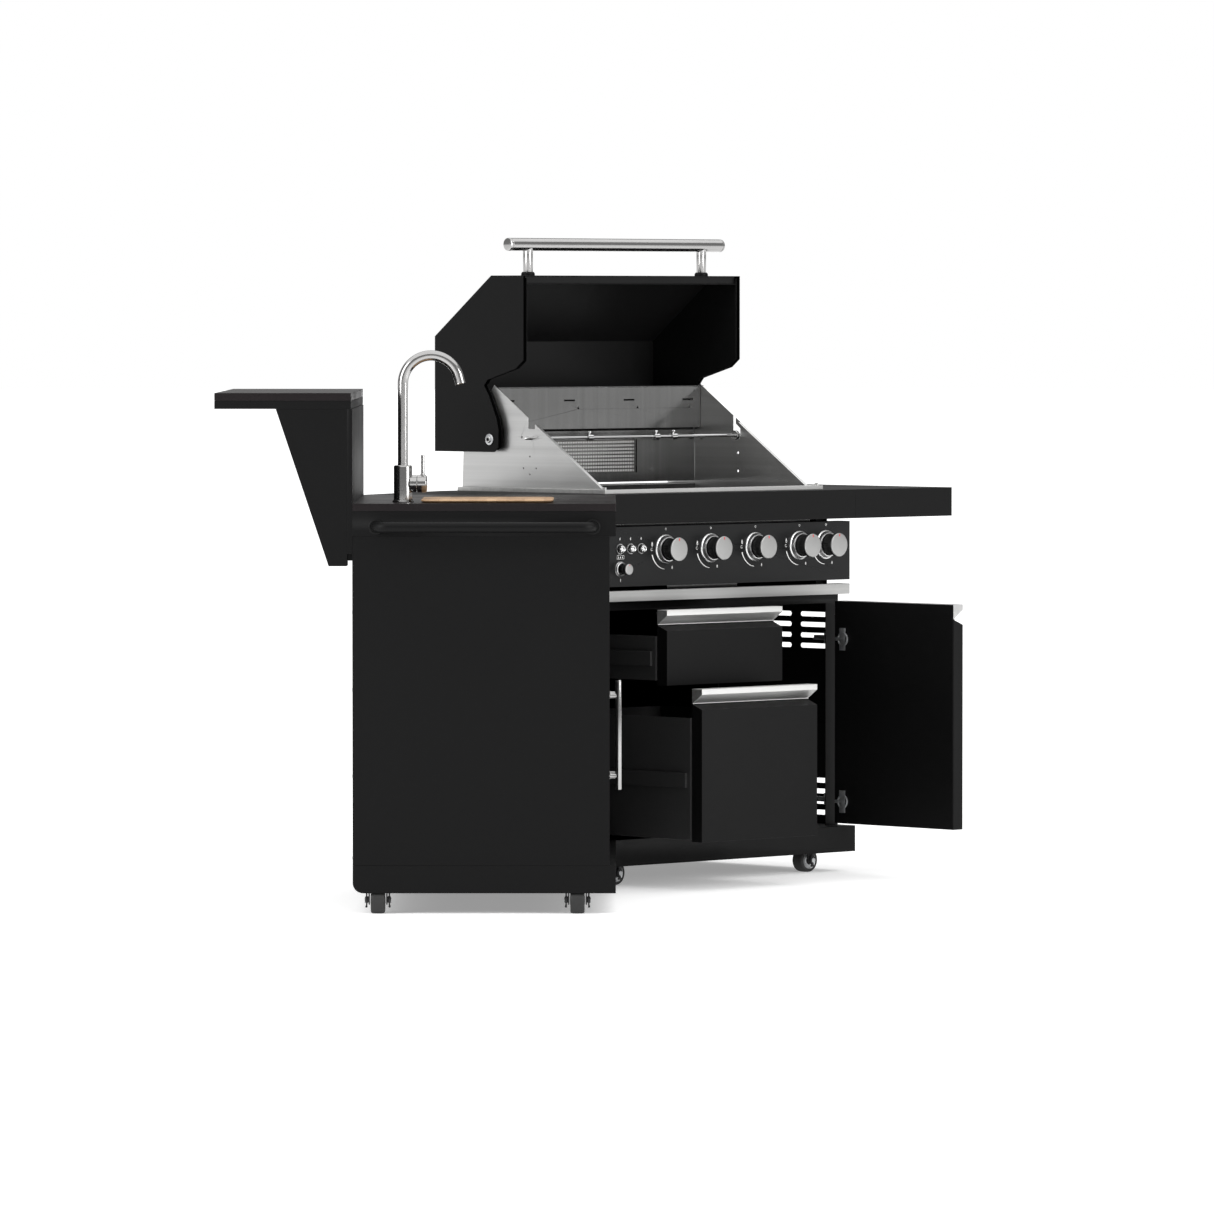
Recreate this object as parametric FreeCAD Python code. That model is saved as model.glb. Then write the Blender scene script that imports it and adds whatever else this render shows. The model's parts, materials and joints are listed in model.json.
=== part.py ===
import FreeCAD, Part
import math
import os
from FreeCAD import Vector

# Outdoor kitchen grill: a gas grill cabinet with a fixed side shelf, and a sink
# cabinet with a raised bar that stands at 45 degrees to it. Millimetres, +Z up.
# The working frame has its origin on the floor at the inside corner where the two
# cabinet fronts meet: +u runs along the grill cabinet's front, +v to its back.
# The sink cabinet is drawn in the same way (s along its front, d to its back, with
# the corner at s = 0) and then turned 45 degrees about the corner.

# ---- cabinets ----
SHEET = 2.0
GRILL_W = 848.0
DEPTH = 610.0
SINK_W = 918.0
SINK_TURN = 45.0
PLINTH_Z = (48.5, 113.0)
TOP_Z = 952.0
FASCIA_Z = 880.0
CARCASS_V = 60.0
EAR_V = 98.0
STILE_U = 803.0
RAIL_Z = (668.0, 689.0)
DECK_Z = 691.0
PANEL_V = 20.0
TRIM_Z = (691.0, 717.0)
PANEL_Z = (727.0, 873.0)
SHELF_END = 1202.0

# ---- drawers and grill door ----
FRONT_T = 34.0
FRONT_TOP = 675.0
FRONT_GAP = 4.0
BAY_LEFT = 20.0
BAY_RIGHT = 828.0
PARTITION_U = (422.0, 424.0)
UPPER_BOTTOM = 493.0
LOWER_TOP = 488.0
LOWER_BOTTOM = 119.0
UPPER_PULL = 176.0
LOWER_PULL = 294.0
BOX_U = (15.0, 409.0)
BOX_LENGTH = 490.0
GRIP_LIP = 13.0
GRIP_DEEP = 30.0
GRIP_H = 34.0
GRIP_GROOVE = 50.0

# ---- controls ----
KNOB_Z = 816.0
KNOB_U = [194.0, 351.5, 509.0, 666.5, 761.5]
KNOB_FACE_R = 29.0
KNOB_BARREL_R = 25.5
KNOB_REACH = 47.0
BEZEL_R = 35.0
SMALL_KNOB = (37.5, 770.0)
SMALL_KNOB_R = 13.5
BUTTON_U = [35.5, 72.0, 108.5]
BUTTON_Z = 819.0
BUTTON_R = 10.5
BUTTON_TRAVEL = 4.0
STEM_R = 4.0
RUN = 0.05

# ---- grill head ----
HEAD_U = (61.5, 786.5)
HEAD_V = (99.0, 502.0)
TUB_Z = 778.0
RIM_U = (39.5, 808.5)
RIM_V = (75.0, 592.0)
RIM_H = 9.5
SIDE_TIP = (99.0, 957.0)
SIDE_APEX = (484.0, 1214.0)
SIDE_BACK = (592.0, 1076.0)
SPIT = (352.0, 1084.0)
SPIT_R = 4.0
HOOD_U = (41.5, 806.5)
HOOD_T = 1.5
HOOD_WALL = 14.0
HOOD_PIVOT = (480.0, 1080.0)
RIM_STRIP_Z = 968.5
PIVOT_R = 6.0
HOOD_OPEN = 90.0
HANDLE_R = 16.0
HANDLE_REACH = 76.5
HANDLE_Z = 1023.0
HANDLE_U = (48.0, 800.0)
POST_U = [118.5, 729.5]
INLET = (720.0, 752.0)
INLET_R = 8.0
INLET_REACH = 30.0

# ---- sink cabinet ----
DOOR_D = (16.0, 36.0)
SLAB_T = 18.0
BAND_Z = (876.0, 934.0)
DOOR_Z = (119.0, 870.0)
DOOR_S = [(-908.0, -461.0), (-457.0, -10.0)]
PULL_S = [-496.0, -422.0]
PULL_Z = (265.0, 521.0)
PULL_REACH = 22.6
BOARD_S = (-888.0, -561.0)
BOARD_D = (145.0, 453.0)
FAUCET = (-773.0, 496.0)
SPOUT_R = 12.0
SPOUT_BEND = 66.0
SPOUT_ARC = 168.0
SPOUT_TAIL = 14.0
SPOUT_TOP = 1306.0
TOWEL_R = 12.5
TOWEL_Z = 898.0
TOWEL_D = (53.5, 555.5)
TOWEL_REACH = 45.0

# ---- raised bar ----
BAR_D = (613.0, 929.0)
BAR_S = (-918.0, 57.0)
BAR_Z = (1171.0, 1190.0, 1208.0)
RISER_Z = 836.0

# ---- casters ----
WHEEL_R = 30.0
WHEEL_W = 33.0
TRAIL = 25.0
CASTERS_GRILL = [(69.0, 56.0), (749.0, 56.0), (69.0, 554.0), (749.0, 554.0)]
CASTERS_SINK = [(-863.0, 89.0), (-863.0, 552.0)]

U = Vector(1, 0, 0)
V = Vector(0, 1, 0)
Z = Vector(0, 0, 1)


def box(u0, u1, v0, v1, z0, z1):
    return Part.makeBox(u1 - u0, v1 - v0, z1 - z0, Vector(u0, v0, z0))


def rod(start, axis, radius, length):
    return Part.makeCylinder(radius, length, Vector(*start), axis)


def along_u(profile, u0, u1):
    """Extrude a closed (v, z) outline from u0 to u1."""
    points = [Vector(u0, v, z) for v, z in profile]
    return Part.Face(Part.makePolygon(points + points[:1])).extrude(Vector(u1 - u0, 0, 0))


def upright(profile, z0, z1):
    """Extrude a closed (u, v) outline from z0 to z1."""
    points = [Vector(u, v, z0) for u, v in profile]
    return Part.Face(Part.makePolygon(points + points[:1])).extrude(Vector(0, 0, z1 - z0))


def lathe(profile, centre, axis):
    """Turn a closed (radius, height) outline about an axis through centre."""
    points = [Vector(r, 0, h) for r, h in profile]
    solid = Part.Face(Part.makePolygon(points + points[:1])).revolve(Vector(), Z, 360)
    solid.Placement = FreeCAD.Placement(Vector(*centre), FreeCAD.Rotation(Z, axis))
    return solid


def offset_line(points, distance, closed=False):
    """Shift a polyline to its left by a distance, with mitred corners."""
    count = len(points)
    shifted = []
    for i, (x, y) in enumerate(points):
        before = points[i - 1] if (i > 0 or closed) else None
        after = points[(i + 1) % count] if (i < count - 1 or closed) else None
        normals = []
        for a, b in ((before, (x, y)), ((x, y), after)):
            if a is not None and b is not None:
                run = math.hypot(b[0] - a[0], b[1] - a[1])
                normals.append((-(b[1] - a[1]) / run, (b[0] - a[0]) / run))
        nx = sum(n[0] for n in normals) / len(normals)
        ny = sum(n[1] for n in normals) / len(normals)
        scale = distance / (nx * nx + ny * ny)
        shifted.append((x + nx * scale, y + ny * scale))
    return shifted


def folded(points, thickness):
    """The outline of a folded sheet that follows a polyline."""
    return points + offset_line(points, thickness)[::-1]


def cut(solid, tools):
    return solid.cut(tools if isinstance(tools, list) else [tools])


def fuse(solids):
    return solids[0].multiFuse(solids[1:]).removeSplitter()


def pan(u0, u1, v0, v1, z0, z1, t, mouth):
    """A folded box of sheet t with one open side, named by mouth."""
    inner = [u0 + t, u1 - t, v0 + t, v1 - t, z0 + t, z1 - t]
    side = {"-u": 0, "+u": 1, "-v": 2, "+v": 3, "-z": 4, "+z": 5}[mouth]
    inner[side] = (u0, u1, v0, v1, z0, z1)[side] + (1 if side % 2 else -1)
    return box(u0, u1, v0, v1, z0, z1).cut(box(*inner))


def turn_sink(shape):
    """Turn a shape drawn in the sink cabinet's own frame into place."""
    turned = shape.copy()
    turned.rotate(Vector(), Z, SINK_TURN)
    return turned


def sink_point(s, d, z=0.0):
    c = math.cos(math.radians(SINK_TURN))
    k = math.sin(math.radians(SINK_TURN))
    return (s * c - d * k, s * k + d * c, z)


CORNER = [(0.0, 0.0), (0.0, DEPTH), sink_point(0, DEPTH)[:2]]


# ---- structure ----

def caster_seat(centre):
    """The fixed plate and king pin that a caster swivels on."""
    u, v = centre
    plate = box(u - 28, u + 28, v - 28, v + 28, 107, 110)
    return fuse([plate, rod((u, v, 90), Z, 5.0, 17)])


def plinth_trays():
    grill = pan(0, GRILL_W, 0, DEPTH, PLINTH_Z[0], PLINTH_Z[1], 3.0, "-z")
    sink = box(-SINK_W, 0, 0, DEPTH, PLINTH_Z[0], PLINTH_Z[1])
    low_back = [e for e in sink.Edges
                if abs(e.CenterOfMass.y - DEPTH) < 1 and abs(e.CenterOfMass.z - PLINTH_Z[0]) < 1]
    sink = sink.makeFillet(24, low_back)
    sink = cut(sink, box(-SINK_W + 3, -3, 3, DEPTH - 3, PLINTH_Z[0] - 1, PLINTH_Z[1] - 3))
    grill = fuse([grill] + [caster_seat(c) for c in CASTERS_GRILL])
    sink = fuse([sink] + [caster_seat(c) for c in CASTERS_SINK])
    return [grill, turn_sink(sink)]


def side_vents(u):
    """Two columns of four round-ended slots, high and low."""
    slots = []
    for v0 in (70, 219):
        for z in (637, 611, 584, 558, 221, 194, 168, 141):
            slots.append(box(u - 5, u + 5, v0 + 6, v0 + 112, z - 6, z + 6))
            for v in (v0 + 6, v0 + 112):
                slots.append(rod((u - 5, v, z), U, 6, 10))
    return slots


def grill_carcass():
    back_v = DEPTH - SHEET
    left = box(0, SHEET, CARCASS_V, back_v, PLINTH_Z[1], FASCIA_Z)
    right = box(GRILL_W - SHEET, GRILL_W, CARCASS_V, back_v, PLINTH_Z[1], FASCIA_Z)
    front_step = box(GRILL_W - 5, GRILL_W + 1, CARCASS_V - 1, EAR_V, DECK_Z, FASCIA_Z + 1)
    right = cut(right, side_vents(GRILL_W - SHEET / 2) + [front_step])
    stile = box(STILE_U, GRILL_W - SHEET, CARCASS_V, CARCASS_V + SHEET, PLINTH_Z[1], RAIL_Z[0])
    back = box(0, GRILL_W, back_v, DEPTH, PLINTH_Z[1], FASCIA_Z)
    back = cut(back, [box(295, 553, back_v - 1, DEPTH + 1, DECK_Z, 740),
                      rod((INLET[0], back_v - 1, INLET[1]), V, INLET_R + 3, 10),
                      box(560, 700, back_v - 1, DEPTH + 1, 150, 230)])
    partition = box(*PARTITION_U, CARCASS_V + SHEET, back_v, PLINTH_Z[1], RAIL_Z[1])
    rail = box(SHEET, GRILL_W - SHEET, CARCASS_V, CARCASS_V + SHEET, *RAIL_Z)
    deck = box(SHEET, GRILL_W - SHEET, CARCASS_V, back_v, RAIL_Z[1], DECK_Z)
    ears = [box(a, b, v, v + SHEET, DECK_Z, FASCIA_Z)
            for a, b, v in ((SHEET, 22, CARCASS_V), (GRILL_W - 40, GRILL_W - SHEET, EAR_V))]
    return [left, right, stile, back, partition, rail, deck] + ears


def cabinet_runners():
    """Drawer runners on both sides of the bay, and the door's hinge arms."""
    parts = []
    for z in (540, 250):
        for u in (SHEET, PARTITION_U[0] - 6):
            parts.append(box(u, u + 6, CARCASS_V + 4, CARCASS_V + 484, z, z + 35))
    for z in (175, 580):
        plate = box(GRILL_W - 8, GRILL_W - SHEET, 66, 101, z - 15, z + 15)
        arm = box(GRILL_W - 20, GRILL_W - 8, 62, 125, z - 6, z + 6)
        parts.append(fuse([plate, arm]))
    return parts


def front_trim():
    return [pan(0, GRILL_W, PANEL_V, CARCASS_V, *TRIM_Z, 1.5, "+v")]


def control_panel():
    panel = pan(0, GRILL_W, PANEL_V, CARCASS_V, *PANEL_Z, SHEET, "+v")
    holes = [rod((u, PANEL_V - 1, KNOB_Z), V, 7, 5) for u in KNOB_U]
    holes.append(rod((SMALL_KNOB[0], PANEL_V - 1, SMALL_KNOB[1]), V, 7, 5))
    holes += [rod((u, PANEL_V - 1, BUTTON_Z), V, 6, 5) for u in BUTTON_U]
    return [cut(panel, holes)]


def control_bezels():
    toward_front = Vector(0, -1, 0)
    ring = [(28, 0), (BEZEL_R, 0), (BEZEL_R, 2), (BEZEL_R - 2, 3), (BEZEL_R - 4.5, 8), (28, 8)]
    small = [(14.5, 0), (19, 0), (18, 2.5), (15.5, 5), (14.5, 5)]
    tiny = [(11, 0), (12.8, 0), (12.2, 2.5), (11, 2.5)]
    rings = [lathe(ring, (u, PANEL_V, KNOB_Z), toward_front) for u in KNOB_U]
    rings.append(lathe(small, (SMALL_KNOB[0], PANEL_V, SMALL_KNOB[1]), toward_front))
    rings += [lathe(tiny, (u, PANEL_V, BUTTON_Z), toward_front) for u in BUTTON_U]
    return rings


def grill_worktop():
    top = pan(0, GRILL_W, 0, DEPTH, FASCIA_Z, TOP_Z, SHEET, "-z")
    opening = box(HEAD_U[0] - 1.5, HEAD_U[1] + 1.5, HEAD_V[0] - 3, HEAD_V[1] + 2, 900, 1000)
    return [cut(top, opening)]


def side_shelf():
    shelf = pan(GRILL_W, SHELF_END, 0, DEPTH, FASCIA_Z, TOP_Z, SHEET, "-z")
    ribs = [box(GRILL_W + SHEET, SHELF_END - SHEET, v, v + 3, FASCIA_Z + 5, TOP_Z - SHEET)
            for v in (200, 407)]
    return [fuse([shelf] + ribs)]


# ---- grill head ----

def head_side(u, notched_low):
    """One stainless cheek of the grill head, with its spit slot and pivot hole."""
    outline = [(HEAD_V[0], TUB_Z), SIDE_TIP, SIDE_APEX, SIDE_BACK, (597, TOP_Z + RIM_H),
               (HEAD_V[1], TOP_Z + RIM_H), (HEAD_V[1], TUB_Z)]
    cheek = along_u(outline, u, u + HOOD_T)
    spit_v, spit_z = SPIT
    tools = [rod((u - 5, HOOD_PIVOT[0], HOOD_PIVOT[1]), U, 5.0, 20)]
    if notched_low:
        tools.append(rod((u - 5, spit_v, spit_z), U, 12, 20))
        slot = [(spit_v - 12, spit_z), (spit_v + 12, spit_z), (spit_v + 12, 1200),
                (spit_v + 4, 1200), (spit_v + 4, spit_z + 29), (spit_v - 12, spit_z + 17)]
        tools.append(along_u(slot, u - 5, u + 15))
        tools += [rod((u - 5, 347.5, z), U, 3, 20) for z in (994, 1040)]
    else:
        tools.append(rod((u - 5, spit_v, spit_z), U, SPIT_R + RUN, 20))
        tools.append(box(u - 5, u + 15, spit_v - 11, spit_v + 13, 1107, 1180))
        tools.append(rod((u - 5, 387, 1086), U, 3, 20))
        tools += [rod((u - 5, 359 + dv, 1017 + dz), U, 2.5, 20)
                  for dv, dz in ((0, 22), (22, -7), (-22, -7), (0, -22))]
    return cut(cheek, tools)


def sloped_edge(u0, u1, stop):
    """The turned-in edge of a cheek, along its front slope as far as its spit slot."""
    rise = (SIDE_APEX[1] - SIDE_TIP[1]) / (SIDE_APEX[0] - SIDE_TIP[0])
    v0 = SIDE_TIP[0] + 4
    v1 = stop
    line = [(v0, SIDE_TIP[1] + rise * (v0 - SIDE_TIP[0])),
            (v1, SIDE_TIP[1] + rise * (v1 - SIDE_TIP[0]))]
    return along_u(folded(line, -1.5), u0, u1)


def pivot_bolt(u, side):
    """Shoulder bolt that the hood turns on, through the cheek and the hood wall."""
    outward = Vector(side, 0, 0)
    profile = [(0, -4), (9, -4), (9, 0), (5.0, 0), (5.0, HOOD_T), (PIVOT_R, HOOD_T),
               (PIVOT_R, 21.8), (13, 21.8), (13, 23.4), (8, 23.4), (7, 28), (0, 28)]
    return lathe(profile, (u, *HOOD_PIVOT), outward)


def firebox_sides():
    left_u = HEAD_U[0]
    right_u = HEAD_U[1] - HOOD_T
    left = head_side(left_u, False)
    right = head_side(right_u, True)
    lips = [sloped_edge(left_u + HOOD_T, left_u + 10, SPIT[0] - 13),
            sloped_edge(right_u - 8.5, right_u, SPIT[0] - 14)]
    bolts = [pivot_bolt(left_u + HOOD_T, -1), pivot_bolt(right_u, 1)]
    return [fuse([left, lips[0]]), fuse([right, lips[1]])] + bolts


def grill_rim():
    ring = box(*RIM_U, *RIM_V, TOP_Z, TOP_Z + RIM_H)
    ring = cut(ring, [box(HEAD_U[0], HEAD_U[1], HEAD_V[0] - 1.5, HEAD_V[1] + 0.5, 900, 1000),
                      box(RIM_U[0] + 1.5, RIM_U[1] - 1.5, RIM_V[0] + 1.5, RIM_V[1] - 1.5,
                          TOP_Z - 1, TOP_Z + RIM_H - 1.5)])
    screws = []
    for u in (49.5, 798.5):
        for v in (84, 91):
            screws.append(rod((u, v, TOP_Z + RIM_H), Z, 2.6, 6))
    return [ring] + screws


def firebox_liner():
    """Inner back wall with its step, tub with a drain, and the rear burner."""
    u0 = HEAD_U[0] + HOOD_T
    u1 = HEAD_U[1] - HOOD_T
    back = [(468, 1207), (480, 1205), (480, 1103), (500, 1097), (500, 968)]
    wall = along_u(folded(back, 1.5), u0 + 1, u1 - 1)
    slots = [box(u, u + 38, 460, 500, 1172, 1176) for u in (90, 300, 510, 720)]
    slots += [rod((u, 460, 1155), V, 3, 40) for u in (140, 350, 560, 745)]
    wall = cut(wall, slots + [box(238, 578, 490, 510, 991, 1074)])
    tub_line = [(500, 960), (500, 800), (424, 782), (176, 782), (100, 800), (100, 957)]
    tub = along_u(folded(tub_line, -1.5), u0, u1)
    holes = [rod((u, 90, KNOB_Z), V, 10, 30) for u in KNOB_U[:4]]
    tub = cut(tub, holes + [rod((424, 300, 770), Z, 14, 30)])
    rear_burner = pan(232, 584, 502, 530, 985, 1080, 1.5, "-v")
    mesh = [box(238, 578, 503, 505, z, z + 3) for z in range(991, 1072, 9)]
    frame = fuse([box(238, 244, 503, 505, 986.5, 1078.5), box(572, 578, 503, 505, 986.5, 1078.5)]
                 + mesh)
    ledges = [box(u0, u1, 101.5, 113, 920, 922), box(u0, u1, 487, 498.5, 920, 922)]
    return [wall, tub, fuse([rear_burner, frame])] + ledges


def cooking_grates():
    """Three cast grates side by side, each with cross bars."""
    grates = []
    width = 238.0
    for i in range(3):
        u0 = HEAD_U[0] + 5 + i * (width + 1.5)
        bars = [box(u0, u0 + width, v, v + 8, 922, 932) for v in (104, 296, 487)]
        count = 14
        pitch = (width - 7) / (count - 1)
        bars += [box(u0 + k * pitch, u0 + k * pitch + 7, 104, 495, 924, 935) for k in range(count)]
        grates.append(fuse(bars))
    return grates


def burners_and_manifold():
    """Gas pipe, five valves, four tube burners and the heat tents above them."""
    parts = []
    pipe_v, pipe_z = 84, KNOB_Z - 26
    pipe = rod((20, pipe_v, pipe_z), U, 10, 806)
    u, z = INLET
    elbow = box(u - 12, u + 12, pipe_v - 12, pipe_v + 12, z - 12, z + 12)
    drop = rod((u, pipe_v, z + 8), Z, INLET_R, pipe_z - z - 8)
    run = rod((u, pipe_v + 8, z), V, INLET_R - 2, DEPTH - pipe_v - 8)
    nipple = rod((u, DEPTH, z), V, INLET_R, INLET_REACH)
    valve_places = [(u, KNOB_Z) for u in KNOB_U] + [SMALL_KNOB]
    bodies = []
    for u, z in valve_places:
        body = box(u - 11, u + 11, 40, 62, z - 11, z + 11)
        bodies.append(cut(body, rod((u, 39, z), V, STEM_R + RUN, 16)))
        low, high = (20, 8) if z == KNOB_Z else (6, 18)
        bodies.append(box(u - 6, u + 6, 60, pipe_v - 3, z - low, z + high))
    parts.append(fuse([pipe, elbow, drop, run, nipple] + bodies))
    for u in KNOB_U[:4]:
        neck = rod((u, 85, KNOB_Z), V, 9, 30)
        tube = rod((u, 112, KNOB_Z), V, 15, 370)
        bore = rod((u, 80, KNOB_Z), V, 7, 30)
        parts.append(cut(fuse([neck, tube]), bore))
        roof = [(u - 48, 848), (u - 48, 860), (u, 884), (u + 48, 860), (u + 48, 848)]
        line = [Vector(a, 120, b) for a, b in folded(roof, -1.5)]
        tent = Part.Face(Part.makePolygon(line + line[:1])).extrude(Vector(0, 360, 0))
        parts.append(tent)
    return parts


def spit_rod():
    v, z = SPIT
    shaft = rod((36, v, z), U, SPIT_R, 768)
    collars = [rod((u, v, z), U, 8.5, 16) for u in (262, 496, 558)]
    spool = rod((HEAD_U[1] - 5, v, z), U, 12 - RUN, 10)
    return [fuse([shaft, spool] + collars)]


def grease_tray():
    tray = pan(300, 548, 120, 604, DECK_Z + 0.5, 732, 1.2, "+z")
    lip = box(285, 563, DEPTH + 0.3, DEPTH + 2.3, DECK_Z + 0.5, 748)
    neck = box(300, 548, 602, DEPTH + 1, DECK_Z + 0.5, DECK_Z + 3)
    return [fuse([tray, neck, lip])]


# ---- hood, drawn closed and then opened about its pivot ----

def opened(shape):
    turned = shape.copy()
    turned.rotate(Vector(0, *HOOD_PIVOT), U, -HOOD_OPEN)
    return turned


def hood_outline(inset):
    """Side outline of the closed hood; inset trims its free edges."""
    front, crest, back = 76 + inset, 1275 - inset, 511 - inset
    slope = [(front, 1075 - inset * 0.33), (226 + inset * 0.5, crest)]
    low = [(back, 1062), (499, 1050), (457, 1049), (427, 1057), (371, 1084), (347, 1100),
           (333, 1088), (305, 988), (285, 962)]
    return [(front, 962)] + slope + [(back, crest)] + low


def hood_shell():
    outer = along_u(hood_outline(0), *HOOD_U)
    t = HOOD_T
    room = [(76 + t, 900), (76 + t, 1075 - 0.33 * t), (226 + 0.5 * t, 1275 - t), (511 - t, 1275 - t),
            (511 - t, 1222), (560, 1222), (560, 900)]
    hollow = along_u(room, HOOD_U[0] + t, HOOD_U[1] - t)
    holes = [rod((0, *HOOD_PIVOT), U, PIVOT_R + RUN, 900)]
    shell = cut(outer, [hollow] + holes)
    cups = []
    for u in POST_U:
        profile = [(12.2, 0), (17, 0), (17, 5), (14, 9), (12.2, 9)]
        cups.append(lathe(profile, (u, 76, HANDLE_Z), Vector(0, -1, 0)))
    return [opened(shell)] + [opened(c) for c in cups]


def hood_liner():
    """Inner skin of the double-walled hood and the strips that close its rim."""
    t = 1.2
    wall = HOOD_WALL
    sheets = []
    for u in (HOOD_U[0] + wall - t, HOOD_U[1] - wall):
        plate = along_u(hood_outline(6), u, u + t)
        sheets.append(cut(plate, rod((0, *HOOD_PIVOT), U, PIVOT_R + RUN, 900)))
    inner = [(97, 963.5), (97, 1067), (240, 1256), (502, 1256)]
    sheets.append(along_u(folded(inner, t), HOOD_U[0] + wall, HOOD_U[1] - wall))
    sheets.append(box(HOOD_U[0] + wall, HOOD_U[1] - wall, 76 + HOOD_T, 97 - t,
                      RIM_STRIP_Z, RIM_STRIP_Z + t))
    return [opened(s) for s in sheets]


def hood_handle():
    axis_v = 76 - HANDLE_REACH
    bar = rod((HANDLE_U[0] + 6, axis_v, HANDLE_Z), U, HANDLE_R, HANDLE_U[1] - HANDLE_U[0] - 12)
    ends = [rod((HANDLE_U[0], axis_v, HANDLE_Z), U, HANDLE_R - 0.8, 6),
            rod((HANDLE_U[1] - 6, axis_v, HANDLE_Z), U, HANDLE_R - 0.8, 6)]
    posts = [rod((u, axis_v, HANDLE_Z), V, 12, HANDLE_REACH) for u in POST_U]
    return [opened(fuse([bar] + ends + posts))]


# ---- controls ----

def knob(u, z, face_r, barrel_r, reach):
    """Knob with a stem into its valve; its face points to the front."""
    profile = [(0, -32), (STEM_R, -32), (STEM_R, 9), (barrel_r * 0.9, 9), (barrel_r, 12),
               (barrel_r, reach - 12), (face_r, reach - 10), (face_r, reach - 1.5),
               (face_r - 1.5, reach), (0, reach)]
    return [lathe(profile, (u, PANEL_V, z), Vector(0, -1, 0))]


def button(u):
    gap = BUTTON_TRAVEL + 0.5
    profile = [(0, -16), (3, -16), (3, gap), (BUTTON_R, gap), (BUTTON_R, 10), (9, 12), (0, 12)]
    body = lathe(profile, (u, PANEL_V, BUTTON_Z), Vector(0, -1, 0))
    flutes = [rod((u + 12.3 * math.cos(k * math.pi / 4), PANEL_V - 13, BUTTON_Z
                   + 12.3 * math.sin(k * math.pi / 4)), V, 3, 8.6) for k in range(8)]
    return [cut(body, flutes)]


# ---- drawers and grill door, drawn closed ----

def front_panel(u0, u1, z0, z1):
    """Painted front below the grip: a folded tray whose top edge slopes into the groove."""
    v0 = PANEL_V
    v1 = PANEL_V + FRONT_T
    outline = [(v0, z0), (v1, z0), (v1, z1 - GRIP_H - 2), (v0 + GRIP_DEEP, z1 - GRIP_H - 2),
               (v0 + GRIP_DEEP, z1 - GRIP_H - 4), (v0, z1 - GRIP_GROOVE)]
    room = [(v0 + 1.5, z0 + 1.5), (v1 + 1, z0 + 1.5), (v1 + 1, z1 - GRIP_GROOVE - 3),
            (v0 + 1.5, z1 - GRIP_GROOVE - 3)]
    return cut(along_u(outline, u0, u1), along_u(room, u0 + 1.5, u1 - 1.5))


def front_grip(u0, u1, z1):
    """Stainless finger pull along the top edge."""
    v0 = PANEL_V
    v1 = PANEL_V + FRONT_T
    outline = [(v0, z1), (v1, z1), (v1, z1 - GRIP_H - 2), (v0 + GRIP_DEEP, z1 - GRIP_H - 2),
               (v0 + GRIP_DEEP, z1 - GRIP_H), (v0, z1 - GRIP_LIP)]
    room = [(v0 + 1.2, z1 - 1.2), (v1 + 1, z1 - 1.2), (v1 + 1, z1 - GRIP_H),
            (v0 + GRIP_DEEP + 1, z1 - GRIP_H), (v0 + 1.2, z1 - GRIP_LIP - 0.4)]
    solid = along_u(outline, u0, u1)
    return cut(solid, along_u(room, u0 + 1.2, u1 - 1.2))


def moved(shape, pull):
    shifted = shape.copy()
    shifted.translate(Vector(0, -pull, 0))
    return shifted


def drawer_box(z0, z1, slide_z, pull):
    v0 = PANEL_V + FRONT_T
    shell = pan(*BOX_U, v0, v0 + BOX_LENGTH, z0, z1, 1.5, "+z")
    slides = [box(u, u + 6, v0 + 12, v0 + 484, slide_z, slide_z + 35)
              for u in (BOX_U[0] - 6, BOX_U[1])]
    return [moved(fuse([shell] + slides), pull)]


def grill_door_parts():
    """Door leaf and grip, drawn closed and then opened 90 degrees."""
    u0 = PARTITION_U[1] + 2
    u1 = BAY_RIGHT
    leaf = front_panel(u0, u1, LOWER_BOTTOM + 1, FRONT_TOP)
    back = box(u0 + 1.5, u1 - 1.5, PANEL_V + FRONT_T, PANEL_V + FRONT_T + 1.2,
               LOWER_BOTTOM + 2.5, FRONT_TOP - 1)
    cups = []
    for z in (175, 580):
        cups.append(rod((u1 - 30, PANEL_V + FRONT_T + 1.2, z), V, 17, 3))
    grip = front_grip(u0, u1, FRONT_TOP)
    swung = []
    for shape in [leaf, back] + cups + [grip]:
        turned = shape.copy()
        turned.rotate(Vector(BAY_RIGHT, PANEL_V, 0), Z, 90)
        swung.append(turned)
    return swung


# ---- sink cabinet ----

def sink_carcass():
    z0 = PLINTH_Z[1]
    end = box(-SINK_W, -SINK_W + SHEET, 14.6, DEPTH - SHEET, z0, BAND_Z[0])
    inner = box(-SHEET, 0, 40, DEPTH - SHEET, z0, BAND_Z[0])
    back = box(-SINK_W, 0, DEPTH - SHEET, DEPTH, z0, BAND_Z[0])
    back = cut(back, box(-200, -100, DEPTH - 5, DEPTH + 5, 200, 300))
    frame = box(-SINK_W + SHEET, -SHEET, 40, 42, z0, BAND_Z[0])
    frame = cut(frame, box(-898, -20, 39, 43, z0 + 12, DOOR_Z[1] - 20))
    band = box(-SINK_W, 0, 0, DEPTH, *BAND_Z)
    band = cut(band, box(-SINK_W + SHEET, -SHEET, SHEET, DEPTH - SHEET, 870, 940))
    return [turn_sink(s) for s in (end, inner, back, frame, band)]


def sink_worktop():
    slab = box(-SINK_W, 0, 0, DEPTH, TOP_Z - SLAB_T, TOP_Z)
    bowl = box(BOARD_S[0] + 14, BOARD_S[1] - 14, BOARD_D[0] + 14, BOARD_D[1] - 14, 900, 1000)
    tap = rod((*FAUCET, 900), Z, 16, 100)
    return [turn_sink(cut(slab, [bowl, tap]))]


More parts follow.
